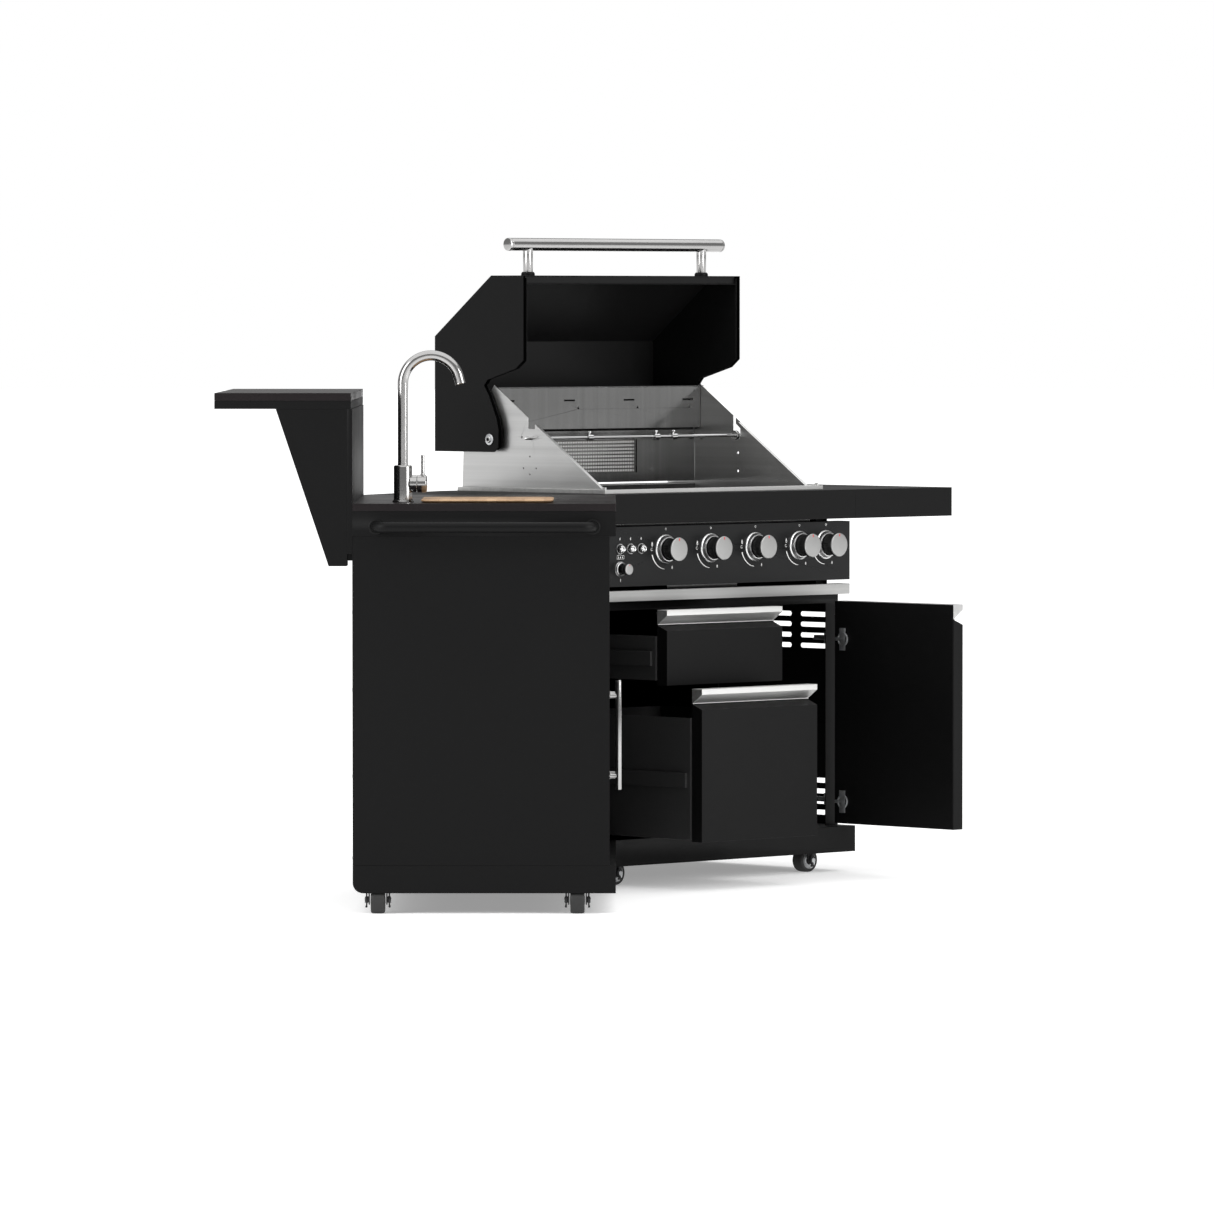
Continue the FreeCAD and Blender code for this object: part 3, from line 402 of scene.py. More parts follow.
# %% Tube and block
def tube(bm, path, radius, sides):
    """A round bar along a path of points in metres, closed at both ends."""
    path = [Vector(p) for p in path]
    axis = (path[1] - path[0]).normalized()
    side = axis.orthogonal().normalized()
    loops = []
    for i, point in enumerate(path):
        ahead = path[min(i + 1, len(path) - 1)] - path[max(i - 1, 0)]
        turn = axis.rotation_difference(ahead.normalized())
        axis, side = ahead.normalized(), turn @ side
        other = axis.cross(side)
        r = radius * MM
        loops.append([bm.verts.new(point + side * r * math.cos(a) + other * r * math.sin(a))
                      for a in (2 * math.pi * k / sides for k in range(sides))])
    for low, high in zip(loops, loops[1:]):
        for k in range(sides):
            j = (k + 1) % sides
            bm.faces.new((low[k], low[j], high[j], high[k]))
    bm.faces.new(loops[0][::-1])
    bm.faces.new(loops[-1])


def block(bm, size, place, edge):
    """A block of size in millimetres about its placement, with its edges broken."""
    made = bmesh.ops.create_cube(bm, size=1.0, matrix=Matrix.Diagonal((*(Vector(size) * MM), 1)))
    edges = list({e for v in made["verts"] for e in v.link_edges})
    worked = bmesh.ops.bevel(bm, geom=edges, offset=edge * MM, segments=2, profile=0.5, affect="EDGES")
    verts = set(worked["verts"]) | {v for f in worked["faces"] for v in f.verts}
    verts |= {v for f in set().union(*(v.link_faces for v in verts)) for v in f.verts}
    bmesh.ops.transform(bm, matrix=place, verts=list(verts))


def plate(bm, outline, thickness, place, material=0):
    """A flat closed outline of (x, y) points in millimetres, given a thickness along local Z."""
    low = [bm.verts.new(place @ (Vector((x, y, 0)) * MM)) for x, y in outline]
    high = [bm.verts.new(place @ (Vector((x, y, thickness)) * MM)) for x, y in outline]
    faces = [bm.faces.new(low[::-1]), bm.faces.new(high)]
    for i in range(len(low)):
        j = (i + 1) % len(low)
        faces.append(bm.faces.new((low[i], low[j], high[j], high[i])))
    for face in faces:
        face.material_index = material


# %% Turn a bmesh into a piece
def piece(name, bm, finishes, body, replaces=(), origin=None, angle=35):
    """Make the object, shade it smooth up to an angle in degrees, and let it ride on its body."""
    bmesh.ops.recalc_face_normals(bm, faces=bm.faces)
    origin = origin or Matrix()
    bm.transform(origin.inverted())
    mesh = bpy.data.meshes.new(name)
    bm.to_mesh(mesh)
    bm.free()
    for face in mesh.polygons:
        face.use_smooth = True
    mesh.set_sharp_from_angle(angle=math.radians(angle))
    for material in finishes:
        mesh.materials.append(material)
    made = bpy.data.objects.new(name, mesh)
    made.matrix_world = origin
    bpy.context.scene.collection.objects.link(made)
    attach(made, body)
    if replaces:
        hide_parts(*replaces)


# %% [markdown]
# ## Folded sheet keeps its frame part
# The cabinets, worktops, drawer fronts and hood already have their true shape in the frame, so they stay.
# What the frame lacks is the small bend radius of folded sheet: without it an edge catches no light and
# looks cut from card. The fold could be cut into every mesh by hand, but a modifier does it to all of them
# and leaves the part itself untouched. A weld joins the loose triangles, a dissolve turns the triangles of
# each flat side back into one whole face, a bevel rounds each fold, and weighted normals keep the big faces
# flat. Parts pierced by rows of small slots skip the dissolve, because it would run neighbouring slots
# together. Parts that get a new shape further down are only given a plain finish here.

# %% Soften a part
FLAT_WITHIN = math.radians(0.4)
FOLD_FROM = math.radians(32)


def soften(name, width, material, segments=2, one_face=True):
    """Give a part its finish and, where a width in millimetres is given, round its folds."""
    part = nodes[name]
    part.data.materials.clear()
    part.data.materials.append(material)
    if width:
        weld = part.modifiers.new("joined faces", "WELD")
        weld.merge_threshold = 0.00002
        if one_face:
            whole = part.modifiers.new("whole faces", "DECIMATE")
            whole.decimate_type = "DISSOLVE"
            whole.angle_limit = FLAT_WITHIN
        folds = part.modifiers.new("fold radius", "BEVEL")
        folds.width = width * MM
        folds.segments = segments
        folds.limit_method = "ANGLE"
        folds.angle_limit = FOLD_FROM
        folds.use_clamp_overlap = False
        folds.miter_outer = "MITER_ARC"
        flat = part.modifiers.new("flat faces", "WEIGHTED_NORMAL")
        flat.keep_sharp = False


# %% Paint the frame parts: fold radius of each part in millimetres
coats = (
    (powder_black, {"plinth_trays": 0.8, "grill_carcass": 0.3, "grill_worktop": 0.9, "side_shelf": 0.8,
                    "sink_carcass": 0.3, "corner_unit": 0.7, "bar_frame": 0.8, "hood_shell": 0.6,
                    "upper_drawer_front": 0.6, "lower_drawer_front": 0.6, "grill_door": 0.6}),
    (panel_enamel, {"control_panel": 0.7}),
    (inner_coat, {"hood_liner": 0.5}),
    # The drawer boxes take the lightened coat, which is painted light.
    (box_coat_painted_light, {"upper_drawer_box": 0.5, "lower_drawer_box": 0.5}),
    (steel_along_x, {"front_trim": 0.5}),
    # The rim and the drawer grips take the brightened steel, which is a painted highlight.
    (rim_steel_painted_highlight, {"grill_rim": 0.5, "upper_drawer_grip": 0.5, "lower_drawer_grip": 0.5}),
    (steel_along_y, {"grill_door_grip": 0.5, "firebox_sides": 0.4, "sink_bowl": 0.5}),
    # The liner and the grease tray take the darkened steel, which is painted shade.
    (liner_steel_painted_shade, {"firebox_liner": 0.2, "grease_tray": 0.4}),
    (zinc, {"cabinet_runners": 0.5, "burners_and_manifold": 0.3}),
    (slab_stone, {"sink_worktop": 1.2, "bar_top": 1.2}),
    (grate_iron, {"cooking_grates": 1.2}),
)
pierced = ("firebox_liner", "grill_carcass", "control_panel", "firebox_sides")
for material, parts in coats:
    for name, width in parts.items():
        soften(name, width, material, 3 if width > 1 else 2, name not in pierced)
for name in nodes:
    if not nodes[name].modifiers:
        soften(name, 0, caster_plastic)
print("softened", sum(bool(o.modifiers) for o in nodes.values()))

# %% [markdown]
# ## Light, floor and camera
# The kitchen stands on a plain pale floor that runs to the horizon. The floor glows a little, so that it
# stays as white as a studio sweep and shadows on it are soft. One wide sun from above keeps it evenly
# bright, and two large soft boxes give the steel and the painted folds something to show. The surroundings
# look white but give only a little light, so that black stays black. The camera stands far off with a long
# lens, close to the height of the hood, and looks along the end of the sink cabinet.

# %% Floor
bm = bmesh.new()
FLOOR_RADIUS = 120
FLOOR_GLOW = 0.3
bmesh.ops.create_circle(bm, cap_ends=True, segments=96, radius=FLOOR_RADIUS)
mesh = bpy.data.meshes.new("floor")
bm.to_mesh(mesh)
bm.free()
floor = bpy.data.objects.new("floor", mesh)
bpy.context.scene.collection.objects.link(floor)
floor_finish = finish("pale_floor", (0.86, 0.86, 0.86), 0.9, specular=0.0)
glow = floor_finish.node_tree.nodes["Principled BSDF"].inputs
glow["Emission Color"].default_value = (1, 1, 1, 1)
glow["Emission Strength"].default_value = FLOOR_GLOW
mesh.materials.append(floor_finish)
print("floor", 2 * FLOOR_RADIUS, "m across")


# %% Lights
def lamp(name, kind, place, aim, strength, size):
    """size is an angle for a sun, and a width and a height for a soft box."""
    data = bpy.data.lights.new(name, kind)
    data.energy = strength
    if kind == "SUN":
        data.angle = size
    else:
        data.shape = "RECTANGLE"
        data.size, data.size_y = size
    made = bpy.data.objects.new(name, data)
    made.location = place
    made.rotation_euler = (Vector(aim) - Vector(place)).to_track_quat("-Z", "Y").to_euler()
    bpy.context.scene.collection.objects.link(made)


lamp("overhead", "SUN", (0, 0, 6), (0.0, 0.15, 0), 2.6, math.radians(110))
lamp("left_box", "AREA", (-5.2, 0.6, 2.6), (0, 0, 0.9), 150, (2.2, 3.0))
lamp("front_box", "AREA", (1.2, -5.5, 2.4), (0.1, 0, 0.8), 170, (2.6, 2.6))

# %% Surroundings
LIGHT_GIVEN, LIGHT_SEEN = 0.38, 1.0
world = bpy.data.worlds.new("surroundings")
bpy.context.scene.world = world
world.use_nodes = True
background = world.node_tree.nodes["Background"]
seen = world.node_tree.nodes.new("ShaderNodeLightPath")
strength = world.node_tree.nodes.new("ShaderNodeMapRange")
strength.inputs["To Min"].default_value = LIGHT_GIVEN
strength.inputs["To Max"].default_value = LIGHT_SEEN
world.node_tree.links.new(seen.outputs["Is Camera Ray"], strength.inputs["Value"])
world.node_tree.links.new(strength.outputs["Result"], background.inputs["Strength"])
background.inputs["Color"].default_value = (1, 1, 1, 1)
bpy.context.scene.view_settings.view_transform = "Standard"
print("lights", len(bpy.data.lights))

# %% Camera
LOOK_ROUND, LOOK_DOWN = -45, 2.0506
camera_data = bpy.data.cameras.new("camera")
camera = bpy.data.objects.new("camera", camera_data)
bpy.context.scene.collection.objects.link(camera)
camera_data.sensor_width = 36
camera_data.lens = 250.3
camera_data.clip_start, camera_data.clip_end = 0.5, 400
camera.location = (-14.4203, -14.4674, 1.4119)
camera.rotation_euler = (math.radians(90 - LOOK_DOWN), 0, math.radians(LOOK_ROUND))
bpy.context.scene.camera = camera
print("camera", [round(x, 3) for x in camera.location])

# %% [markdown]
# ## Knobs
# A burner knob is a black ribbed barrel to grip, and a satin metal disc pressed into its face with a red
# index mark at the top. The ribs could be cut one by one, but all of the knob is round, so a lathe outline
# makes it, and a small ripple on the barrel's radius makes the ribs. The knob's own Z axis is its shaft,
# which is also what the turned lines of the face finish run around.

# %% Knobs
panel_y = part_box("control_panel")[0].y


def axis_on_panel(name):
    low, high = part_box(name)
    return Vector(((low.x + high.x) / 2, panel_y, (low.z + high.z) / 2))


RIB_DEPTH = 0.45


def make_knob(name, face, barrel, reach, ribs):
    """Face and barrel radius and the reach from the panel are in millimetres."""
    place = toward(axis_on_panel(name), FRONT)
    bm = bmesh.new()

    def ribbed(angle, radius):
        on_barrel = abs(radius - barrel) < 0.2
        return radius + (RIB_DEPTH * math.cos(ribs * angle) if on_barrel else 0)

    grip = [(0, -32), (3.4, -32), (4, -31.2), (4, 9), (barrel - 1.5, 9), (barrel, 11),
            (barrel, reach - 14), (barrel - 1.2, reach - 12.6), (face - 1.4, reach - 10.5),
            (face - 0.2, reach - 9.4), (face - 0.2, reach - 4.2), (face - 1.2, reach - 3.4),
            (0, reach - 3.4)]
    lathe(bm, grip, place, 240, ribbed)
    disc = rounded([(0, reach - 3.9), (face, reach - 3.9), (face, reach - 1.1), (face - 1.3, reach),
                    (0, reach)], 0.35, 3)
    lathe(bm, disc, place, 96, material=1)
    mark = [(-1.3, face * 0.72), (1.3, face * 0.72), (1.3, face - 2.2), (0, face - 1.6), (-1.3, face - 2.2)]
    up = toward(axis_on_panel(name) + FRONT * (reach - 0.05) * MM, FRONT)
    plate(bm, mark, 0.25, up, material=2)
    piece(name + "_grip_and_face", bm, [knob_grip, knob_face, red_mark], name, [name], place)


burner_knobs = [f"knob_{k}" for k in range(1, 6)]
for name in burner_knobs:
    make_knob(name, 29, 25.5, 47, 40)
make_knob("knob_small", 13.5, 12, 31, 24)
print("knob axis height", round(axis_on_panel("knob_1").z, 4))

# %% [markdown]
# ## Bezels and push buttons
# Each knob stands in a bright flared ring, and each push button is a small fluted cap, like a flower seen
# from the front. The rings are lathe work again, closed on themselves. The buttons take their eight
# petals from a ripple on the radius, and the cap keeps its four millimetres of travel above the panel.

# %% Bezels
bm = bmesh.new()
flare = [(27, 0), (36, 0), (36, 1.4), (34.8, 2.6), (33.2, 3.2), (31.6, 7), (30.9, 10.6), (29.6, 12.2),
         (28, 12.4), (27, 11.4)]
for name in burner_knobs:
    lathe(bm, flare, toward(axis_on_panel(name), FRONT), 96, ring=True)
small_flare = [(14.6, 0), (19, 0), (19, 1.2), (17.8, 2.4), (16.6, 5.2), (15.2, 6), (14.6, 5.4)]
lathe(bm, small_flare, toward(axis_on_panel("knob_small"), FRONT), 72, ring=True)
buttons = ["button_left", "button_middle", "button_right"]
for name in buttons:
    lathe(bm, [(11, 0), (13.2, 0), (13, 1.4), (12.2, 2.4), (11.3, 2.4)],
          toward(axis_on_panel(name), FRONT), 64, ring=True)
piece("bright_bezels", bm, [bezel_chrome], "cabinets", ["control_bezels"])
print("bezels", len(burner_knobs) + 1 + len(buttons))


# %% Push buttons
def petals(angle, radius):
    """Eight petals that fade out toward the middle of the cap."""
    return radius * (1 + 0.075 * math.cos(8 * angle) * min(1, radius / 10)) if radius > 3.2 else radius


for name in buttons:
    place = toward(axis_on_panel(name), FRONT)
    bm = bmesh.new()
    cap = [(0, -16), (3, -16), (3, 4.5), (8.6, 4.5), (9.6, 5.2), (9.7, 8.4), (9, 10.4), (7.2, 11.6),
           (5.4, 11), (3.6, 11.4), (1.8, 12), (0, 12)]
    lathe(bm, cap, place, 96, petals)
    piece(name + "_cap", bm, [chrome], name, [name], place, angle=50)
print("buttons", buttons)

# %% [markdown]
# ## Marks on the control panel
# The panel is printed in white. Beside every knob a tapering sweep runs from the large flame round to the
# small one, and an open ring above marks off. Lettering is left out. The print is a tenth of a millimetre
# thick, as screen print is, and is made as flat outlines drawn by formula.

# %% Outlines of the print
def print_at(axis, dx, dz):
    """Just proud of the panel, dx to the right and dz above a control's axis."""
    return toward(axis + Vector((dx, 0, dz)) * MM + FRONT * 0.02 * MM, FRONT)


def flame(width, height, count=24):
    """A drop with its point at the top."""
    turns = [2 * math.pi * k / count for k in range(count)]
    return [(width / 2 * math.sin(t) * math.sin(t / 2) ** 1.3, height / 2 * math.cos(t)) for t in turns]


def sweep(radius, start, end, wide, narrow, count=20):
    """A band round an arc, from start to end in degrees, that tapers from wide to narrow."""
    outer, inner = [], []
    for k in range(count + 1):
        t = k / count
        angle = math.radians(start + (end - start) * t)
        half = (wide * (1 - t) + narrow * t) / 2
        outer.append(((radius + half) * math.cos(angle), (radius + half) * math.sin(angle)))
        inner.append(((radius - half) * math.cos(angle), (radius - half) * math.sin(angle)))
    return outer + inner[::-1]


# %% Marks beside the burner knobs
bm = bmesh.new()
INK = 0.12
for name in burner_knobs:
    axis = axis_on_panel(name)
    plate(bm, sweep(49, 196, 264, 3.2, 1.2), INK, print_at(axis, 0, 0))
    plate(bm, flame(7, 12), INK, print_at(axis, -47.5, 13))
    plate(bm, flame(3.2, 4.5), INK + 0.06, print_at(axis, -47.5, 11), material=1)
    plate(bm, sweep(3.2, 60, 330, 1, 1), INK, print_at(axis, -48.5, 0))
    plate(bm, flame(5, 8), INK, print_at(axis, 22, -45))
    plate(bm, flame(2.2, 3), INK + 0.06, print_at(axis, 22, -46.3), material=1)
    off_mark = toward(axis + Vector((0, 0, 49)) * MM, FRONT)
    lathe(bm, [(1.9, 0.02), (2.7, 0.02), (2.7, INK), (1.9, INK)], off_mark, 32, ring=True)

# %% Marks round the buttons and the small knob
for name in buttons:
    spark = [(0.4, 4), (-2, -0.6), (-0.3, -0.6), (-0.8, -4), (2, 0.8), (0.2, 0.8), (1.6, 4)]
    plate(bm, spark, INK, print_at(axis_on_panel(name), 0, 24))
axis = axis_on_panel("knob_small")
frame_line = rounded([(0, 4.6), (12.5, 4.6), (12.5, -4.6), (-12.5, -4.6), (-12.5, 4.6), (0, 4.6)], 2.5)[:-1]
inner_line = [p * 0.9 if abs(p.x) < 1 else Vector((p.x - math.copysign(0.7, p.x), p.y * 0.84))
              for p in frame_line]
frame_place = print_at(axis, 0, 29)
outer_ring, inner_ring = ([bm.verts.new(frame_place @ (Vector((p.x, p.y, INK)) * MM)) for p in line]
                          for line in (frame_line, inner_line))
for i in range(len(outer_ring)):
    j = (i + 1) % len(outer_ring)
    bm.faces.new((outer_ring[i], outer_ring[j], inner_ring[j], inner_ring[i]))
for dx in (-7, 0, 7):
    plate(bm, flame(3.6, 5.6), INK, print_at(axis, dx, 29))
plate(bm, [(-0.7, -3.5), (0.7, -3.5), (0.7, 3.5), (-0.7, 3.5)], INK, print_at(axis, 0, -27))
piece("panel_print", bm, [white_print, panel_enamel], "cabinets")
print("marks on", len(burner_knobs) + 1 + len(buttons), "controls")

# %% [markdown]
# ## Hood handle and pivots
# The handle is a 32 mm polished tube with turned end plugs, a fine groove where each plug meets the tube,
# on two posts that stand in black cups on the hood. Plugs, grooves and tube share one axis, so a single
# outline on the lathe draws the bar. The hood turns on a shoulder bolt at each side: a wide bright washer
# with a domed hexagon head on it.

# %% Handle
low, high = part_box("hood_handle")
TUBE_R, POST_INSET = 16, 70.5
bar_centre = Vector(((low.x + high.x) / 2, (low.y + high.y) / 2, high.z - TUBE_R * MM))
half = (high.x - low.x) / 2 / MM
bm = bmesh.new()
end = [(0, -half), (13.8, -half), (15.4, 0.9 - half), (15.9, 2.2 - half), (15.9, 5.6 - half),
       (15.2, 6 - half), (15.2, 6.8 - half), (TUBE_R, 7.2 - half)]
bar = end + [(r, -h) for r, h in reversed(end)]
lathe(bm, bar, toward(bar_centre, (1, 0, 0)), 96)
reach = (bar_centre.z - low.z) / MM
post = [(0, 0), (12, 0), (12, reach - 24), (12.2, reach - 14), (13.4, reach - 8), (13.4, reach - 4),
        (0, reach - 4)]
for side in (-1, 1):
    foot = Vector((bar_centre.x + side * (half - POST_INSET) * MM, bar_centre.y, low.z))
    lathe(bm, rounded(post, 1.2, 3), toward(foot, (0, 0, 1)), 64)
piece("hood_handle_bar", bm, [polished_steel], "hood", ["hood_handle"])
print("handle", round(2 * half), "mm long")

# %% Pivot bolts
def hexagon(angle, radius):
    """Six flats: the radius given reaches from the middle to a flat."""
    return radius / math.cos((angle + math.pi / 6) % (math.pi / 3) - math.pi / 6)


bm = bmesh.new()
pivot = joints["hood_hinge"]["pos_m"]
sides_low, sides_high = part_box("firebox_sides")
for x, way in ((sides_low.x, -1), (sides_high.x, 1)):
    out = toward((x, pivot[1], pivot[2]), (way, 0, 0))
    lathe(bm, [(0, -6.3), (13.4, -6.3), (13.6, -5.6), (13.6, -4.9), (12.8, -4.4), (0, -4.4)], out, 64)
    lathe(bm, rounded([(0, -4.6), (8, -4.6), (8, -1.2), (5.5, 0), (0, 0)], 0.8, 3), out, 72,
          lambda a, r: hexagon(a, r) if r > 6.4 else r)
piece("pivot_bolt_heads", bm, [zinc], "cabinets")
print("pivot height", round(pivot[2], 3))

# %% [markdown]
# ## Faucet
# The faucet is turned and bent from polished steel: a stepped body on the worktop, a side valve with a
# cap that carries the lever, and a swivel spout bent over the bowl. The turned parts are lathe work. The
# spout is a tube swept along a path of a straight rise, most of a half circle, and a short straight tail
# with the aerator ring in its mouth.

# %% Faucet body
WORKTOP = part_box("sink_worktop")[1].z / MM
low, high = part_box("faucet_spout")
TAP_S, TAP_D = -773, 496
VALVE_Z = WORKTOP + 43
tap_origin = toward(sink(TAP_S, TAP_D, WORKTOP), (0, 0, 1))
bm = bmesh.new()
body = [(0, 0), (25, 0), (25, 2.6), (24, 4), (22.6, 4.6), (22.6, 6.2), (21.5, 7), (21.5, 82), (20.6, 84.6),
        (19, 86), (13, 86), (12.4, 85.2), (12.4, 60), (0, 60)]
lathe(bm, body, tap_origin, 96)
side = toward(sink(TAP_S, TAP_D - 16, VALVE_Z), SINK_FRONT)
lathe(bm, rounded([(0, 0), (20, 0), (20, 16), (0, 16)], 0.7, 3), side, 72)
shank = [(0, -60), (13, -60), (13, -1), (0, -1)]
lathe(bm, shank, tap_origin, 48)
nut = [(0, -30), (24, -30), (24, -18.2), (0, -18.2)]
lathe(bm, nut, tap_origin, 72, hexagon)
piece("faucet_turned_body", bm, [polished_steel], "cabinets", ["faucet_body"], tap_origin)

# %% Faucet lever
bm = bmesh.new()
cap = toward(sink(TAP_S, TAP_D - 32.5, VALVE_Z), SINK_FRONT)
lathe(bm, rounded([(0, 0), (20.5, 0), (20.5, 21), (16, 24), (0, 24)], 2.2, 5), cap, 96)
stick = toward(sink(TAP_S, TAP_D - 46, WORKTOP + 58), (0, 0, 1))
lathe(bm, rounded([(0, 0), (5.4, 0), (5.4, 7), (4.2, 8.4), (4.2, 52), (0, 52)], 0.8, 3), stick, 48)
piece("faucet_lever_cap", bm, [polished_steel], "faucet_lever", ["faucet_lever"], cap)
print("valve height", round(VALVE_Z), "mm")

# %% Spout
BEND, SPOUT_R, TAIL = 66, 12, 13
BEND_STEPS, STEP_ANGLE = 43, 4
crown = high.z / MM - SPOUT_R - BEND
path = [sink(TAP_S, TAP_D, WORKTOP + 61), sink(TAP_S, TAP_D, (WORKTOP + crown) / 2)]
for k in range(BEND_STEPS):
    angle = math.radians(STEP_ANGLE * k)
    path.append(sink(TAP_S, TAP_D - BEND + BEND * math.cos(angle), crown + BEND * math.sin(angle)))
tail = (path[-1] - path[-2]).normalized()
path.append(path[-1] + tail * TAIL * MM)
bm = bmesh.new()
tube(bm, path, SPOUT_R, 64)
mouth = toward(path[-1], tail)
lathe(bm, [(8.6, -1), (12, -1), (12.2, -0.4), (12.2, 0.8), (11.4, 1.4), (9.4, 1.4), (8.8, 0.6)], mouth, 64,
      ring=True)
collar = [(12, 0), (12.35, 0.2), (12.35, 4), (12, 4.2)]
lathe(bm, collar, toward(sink(TAP_S, TAP_D, WORKTOP + 86.2), (0, 0, 1)), 64, ring=True)
piece("faucet_spout_tube", bm, [polished_steel], "faucet_spout", ["faucet_spout"],
      tap_origin)
print("spout top", round(high.z, 3))

# %% [markdown]
# ## Towel bar
# A painted tube runs along the end of the sink cabinet. Its ends turn in through a quarter circle and
# meet the cabinet in small round flanges. A curve with a thickness would draw it too, but the same sweep as
# the spout keeps the flanges and the tube in one piece.

# %% Towel bar
low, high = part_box("towel_bar")
bar_z = (low.z + high.z) / 2 / MM
END_FACE, OUT, TOWEL_BEND, TOWEL_ENDS = -918, 45, 30, (53.5, 555.5)
path = []
for d0, way in ((TOWEL_ENDS[0], 1), (TOWEL_ENDS[1], -1)):
    leg = [sink(END_FACE, d0, bar_z), sink(END_FACE - (OUT - TOWEL_BEND), d0, bar_z)]
    for k in range(1, 13):
        a = math.radians(7.5 * k)
        leg.append(sink(END_FACE - OUT + TOWEL_BEND - TOWEL_BEND * math.sin(a),
                        d0 + way * (TOWEL_BEND - TOWEL_BEND * math.cos(a)), bar_z))
    path += leg if way > 0 else leg[::-1]
bm = bmesh.new()
tube(bm, path, 12.5, 48)
for d0 in TOWEL_ENDS:
    lathe(bm, rounded([(0, 0), (18, 0), (18, 2), (14.5, 3.4), (12, 3.4)], 0.6, 2),
          toward(sink(END_FACE, d0, bar_z), SINK_END), 64)
piece("towel_bar_tube", bm, [powder_black], "cabinets", ["towel_bar"])
print("towel bar", round((high - low).length, 3), "m corner to corner")

# %% [markdown]
# ## Sink doors
# Each door is a folded tray with a second skin on its back, so it is closed all round. Nothing can be seen
# between the two skins, so plain blocks do for both, with their edges broken by about a millimetre as a
# fold would be. The hinge cups on the back are turned, and the pull is a polished bar on two turned posts.

# %% Sink doors
# Distances back from the sink cabinet's front edge, into its depth, in millimetres.
LEAF_D, LEAF_DEPTH, SKIN_D, CUP_D = 16, 18.5, 35.2, 35.9
# Each cup's distance from the hinge edge and from the leaf's ends, then the pull's own sizes.
CUP_IN, CUP_UP = 32, 90
PULL_Z, PULL_OUT, PULL_POST_IN = (265, 521), 22.6, 33


def make_sink_door(name, s0, s1, pull_s):
    """A leaf from s0 to s1 along the sink cabinet's front, with its pull at pull_s."""
    low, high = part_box(name)
    z0, z1 = low.z / MM, high.z / MM
    mid = sink((s0 + s1) / 2, LEAF_D + LEAF_DEPTH / 2, (z0 + z1) / 2)
    place = Matrix.Translation(mid) @ TURN
    bm = bmesh.new()
    block(bm, (s1 - s0, LEAF_DEPTH, z1 - z0), place, 1.3)
    back = Matrix.Translation(sink((s0 + s1) / 2, SKIN_D, (z0 + z1) / 2)) @ TURN
    block(bm, (s1 - s0 - 5, 1.6, z1 - z0 - 5), back, 0.5)
    hinge_s = s0 + CUP_IN if name.endswith("left") else s1 - CUP_IN
    cup = [(0, 0), (17.5, 0), (17.5, 0.9), (16.2, 1.5), (13.4, 1.5), (13, 0.4), (0, 0.4)]
    for z in (z0 + CUP_UP, z1 - CUP_UP):
        lathe(bm, cup, toward(sink(hinge_s, CUP_D, z), -SINK_FRONT), 48, material=1)
    piece(name + "_leaf", bm, [powder_black, zinc], name, [name])
    bm = bmesh.new()
    axis = toward(sink(pull_s, LEAF_D - PULL_OUT, sum(PULL_Z) / 2), (0, 0, 1))
    half = (PULL_Z[1] - PULL_Z[0]) / 2
    end = [(0, -half), (6.6, -half), (7.5, 0.7 - half), (7.75, 1.8 - half)]
    lathe(bm, end + [(r, -h) for r, h in reversed(end)], axis, 64)
    for z in (PULL_Z[0] + PULL_POST_IN, PULL_Z[1] - PULL_POST_IN):
        post = [(0, 0), (8.4, 0), (8.4, 1.6), (7, 3), (6.6, 6), (6.6, 20), (0, 20)]
        lathe(bm, post, toward(sink(pull_s, LEAF_D, z), SINK_FRONT), 48)
    piece(name + "_pull", bm, [polished_steel], name, origin=axis)


make_sink_door("sink_door_left", -908, -461, -496)
make_sink_door("sink_door_right", -457, -10, -422)
print("pulls", PULL_Z[1] - PULL_Z[0], "mm long")

# %% [markdown]
# ## Casters
# Each of the six casters is a pressed fork on a ball race, with a brake lug and pedal at each side, and a
# rubber-tyred wheel with a steel disc. The frame gives the two axes of each caster as joints, so the
# same functions serve all six: they read where the swivel and the axle are, and draw fork and wheel there.

# %% Caster axes and forks
def caster_axes(place_name):
    """The middle of the axle, the king pin at the axle's height, and the way the axle points."""
    swivel = joints["caster_swivel_" + place_name]
    roll = joints["caster_roll_" + place_name]
    axle = Vector(roll["pos_m"])
    king = Vector((swivel["pos_m"][0], swivel["pos_m"][1], axle.z))
    return axle, king, Vector(roll["axis"]).normalized()


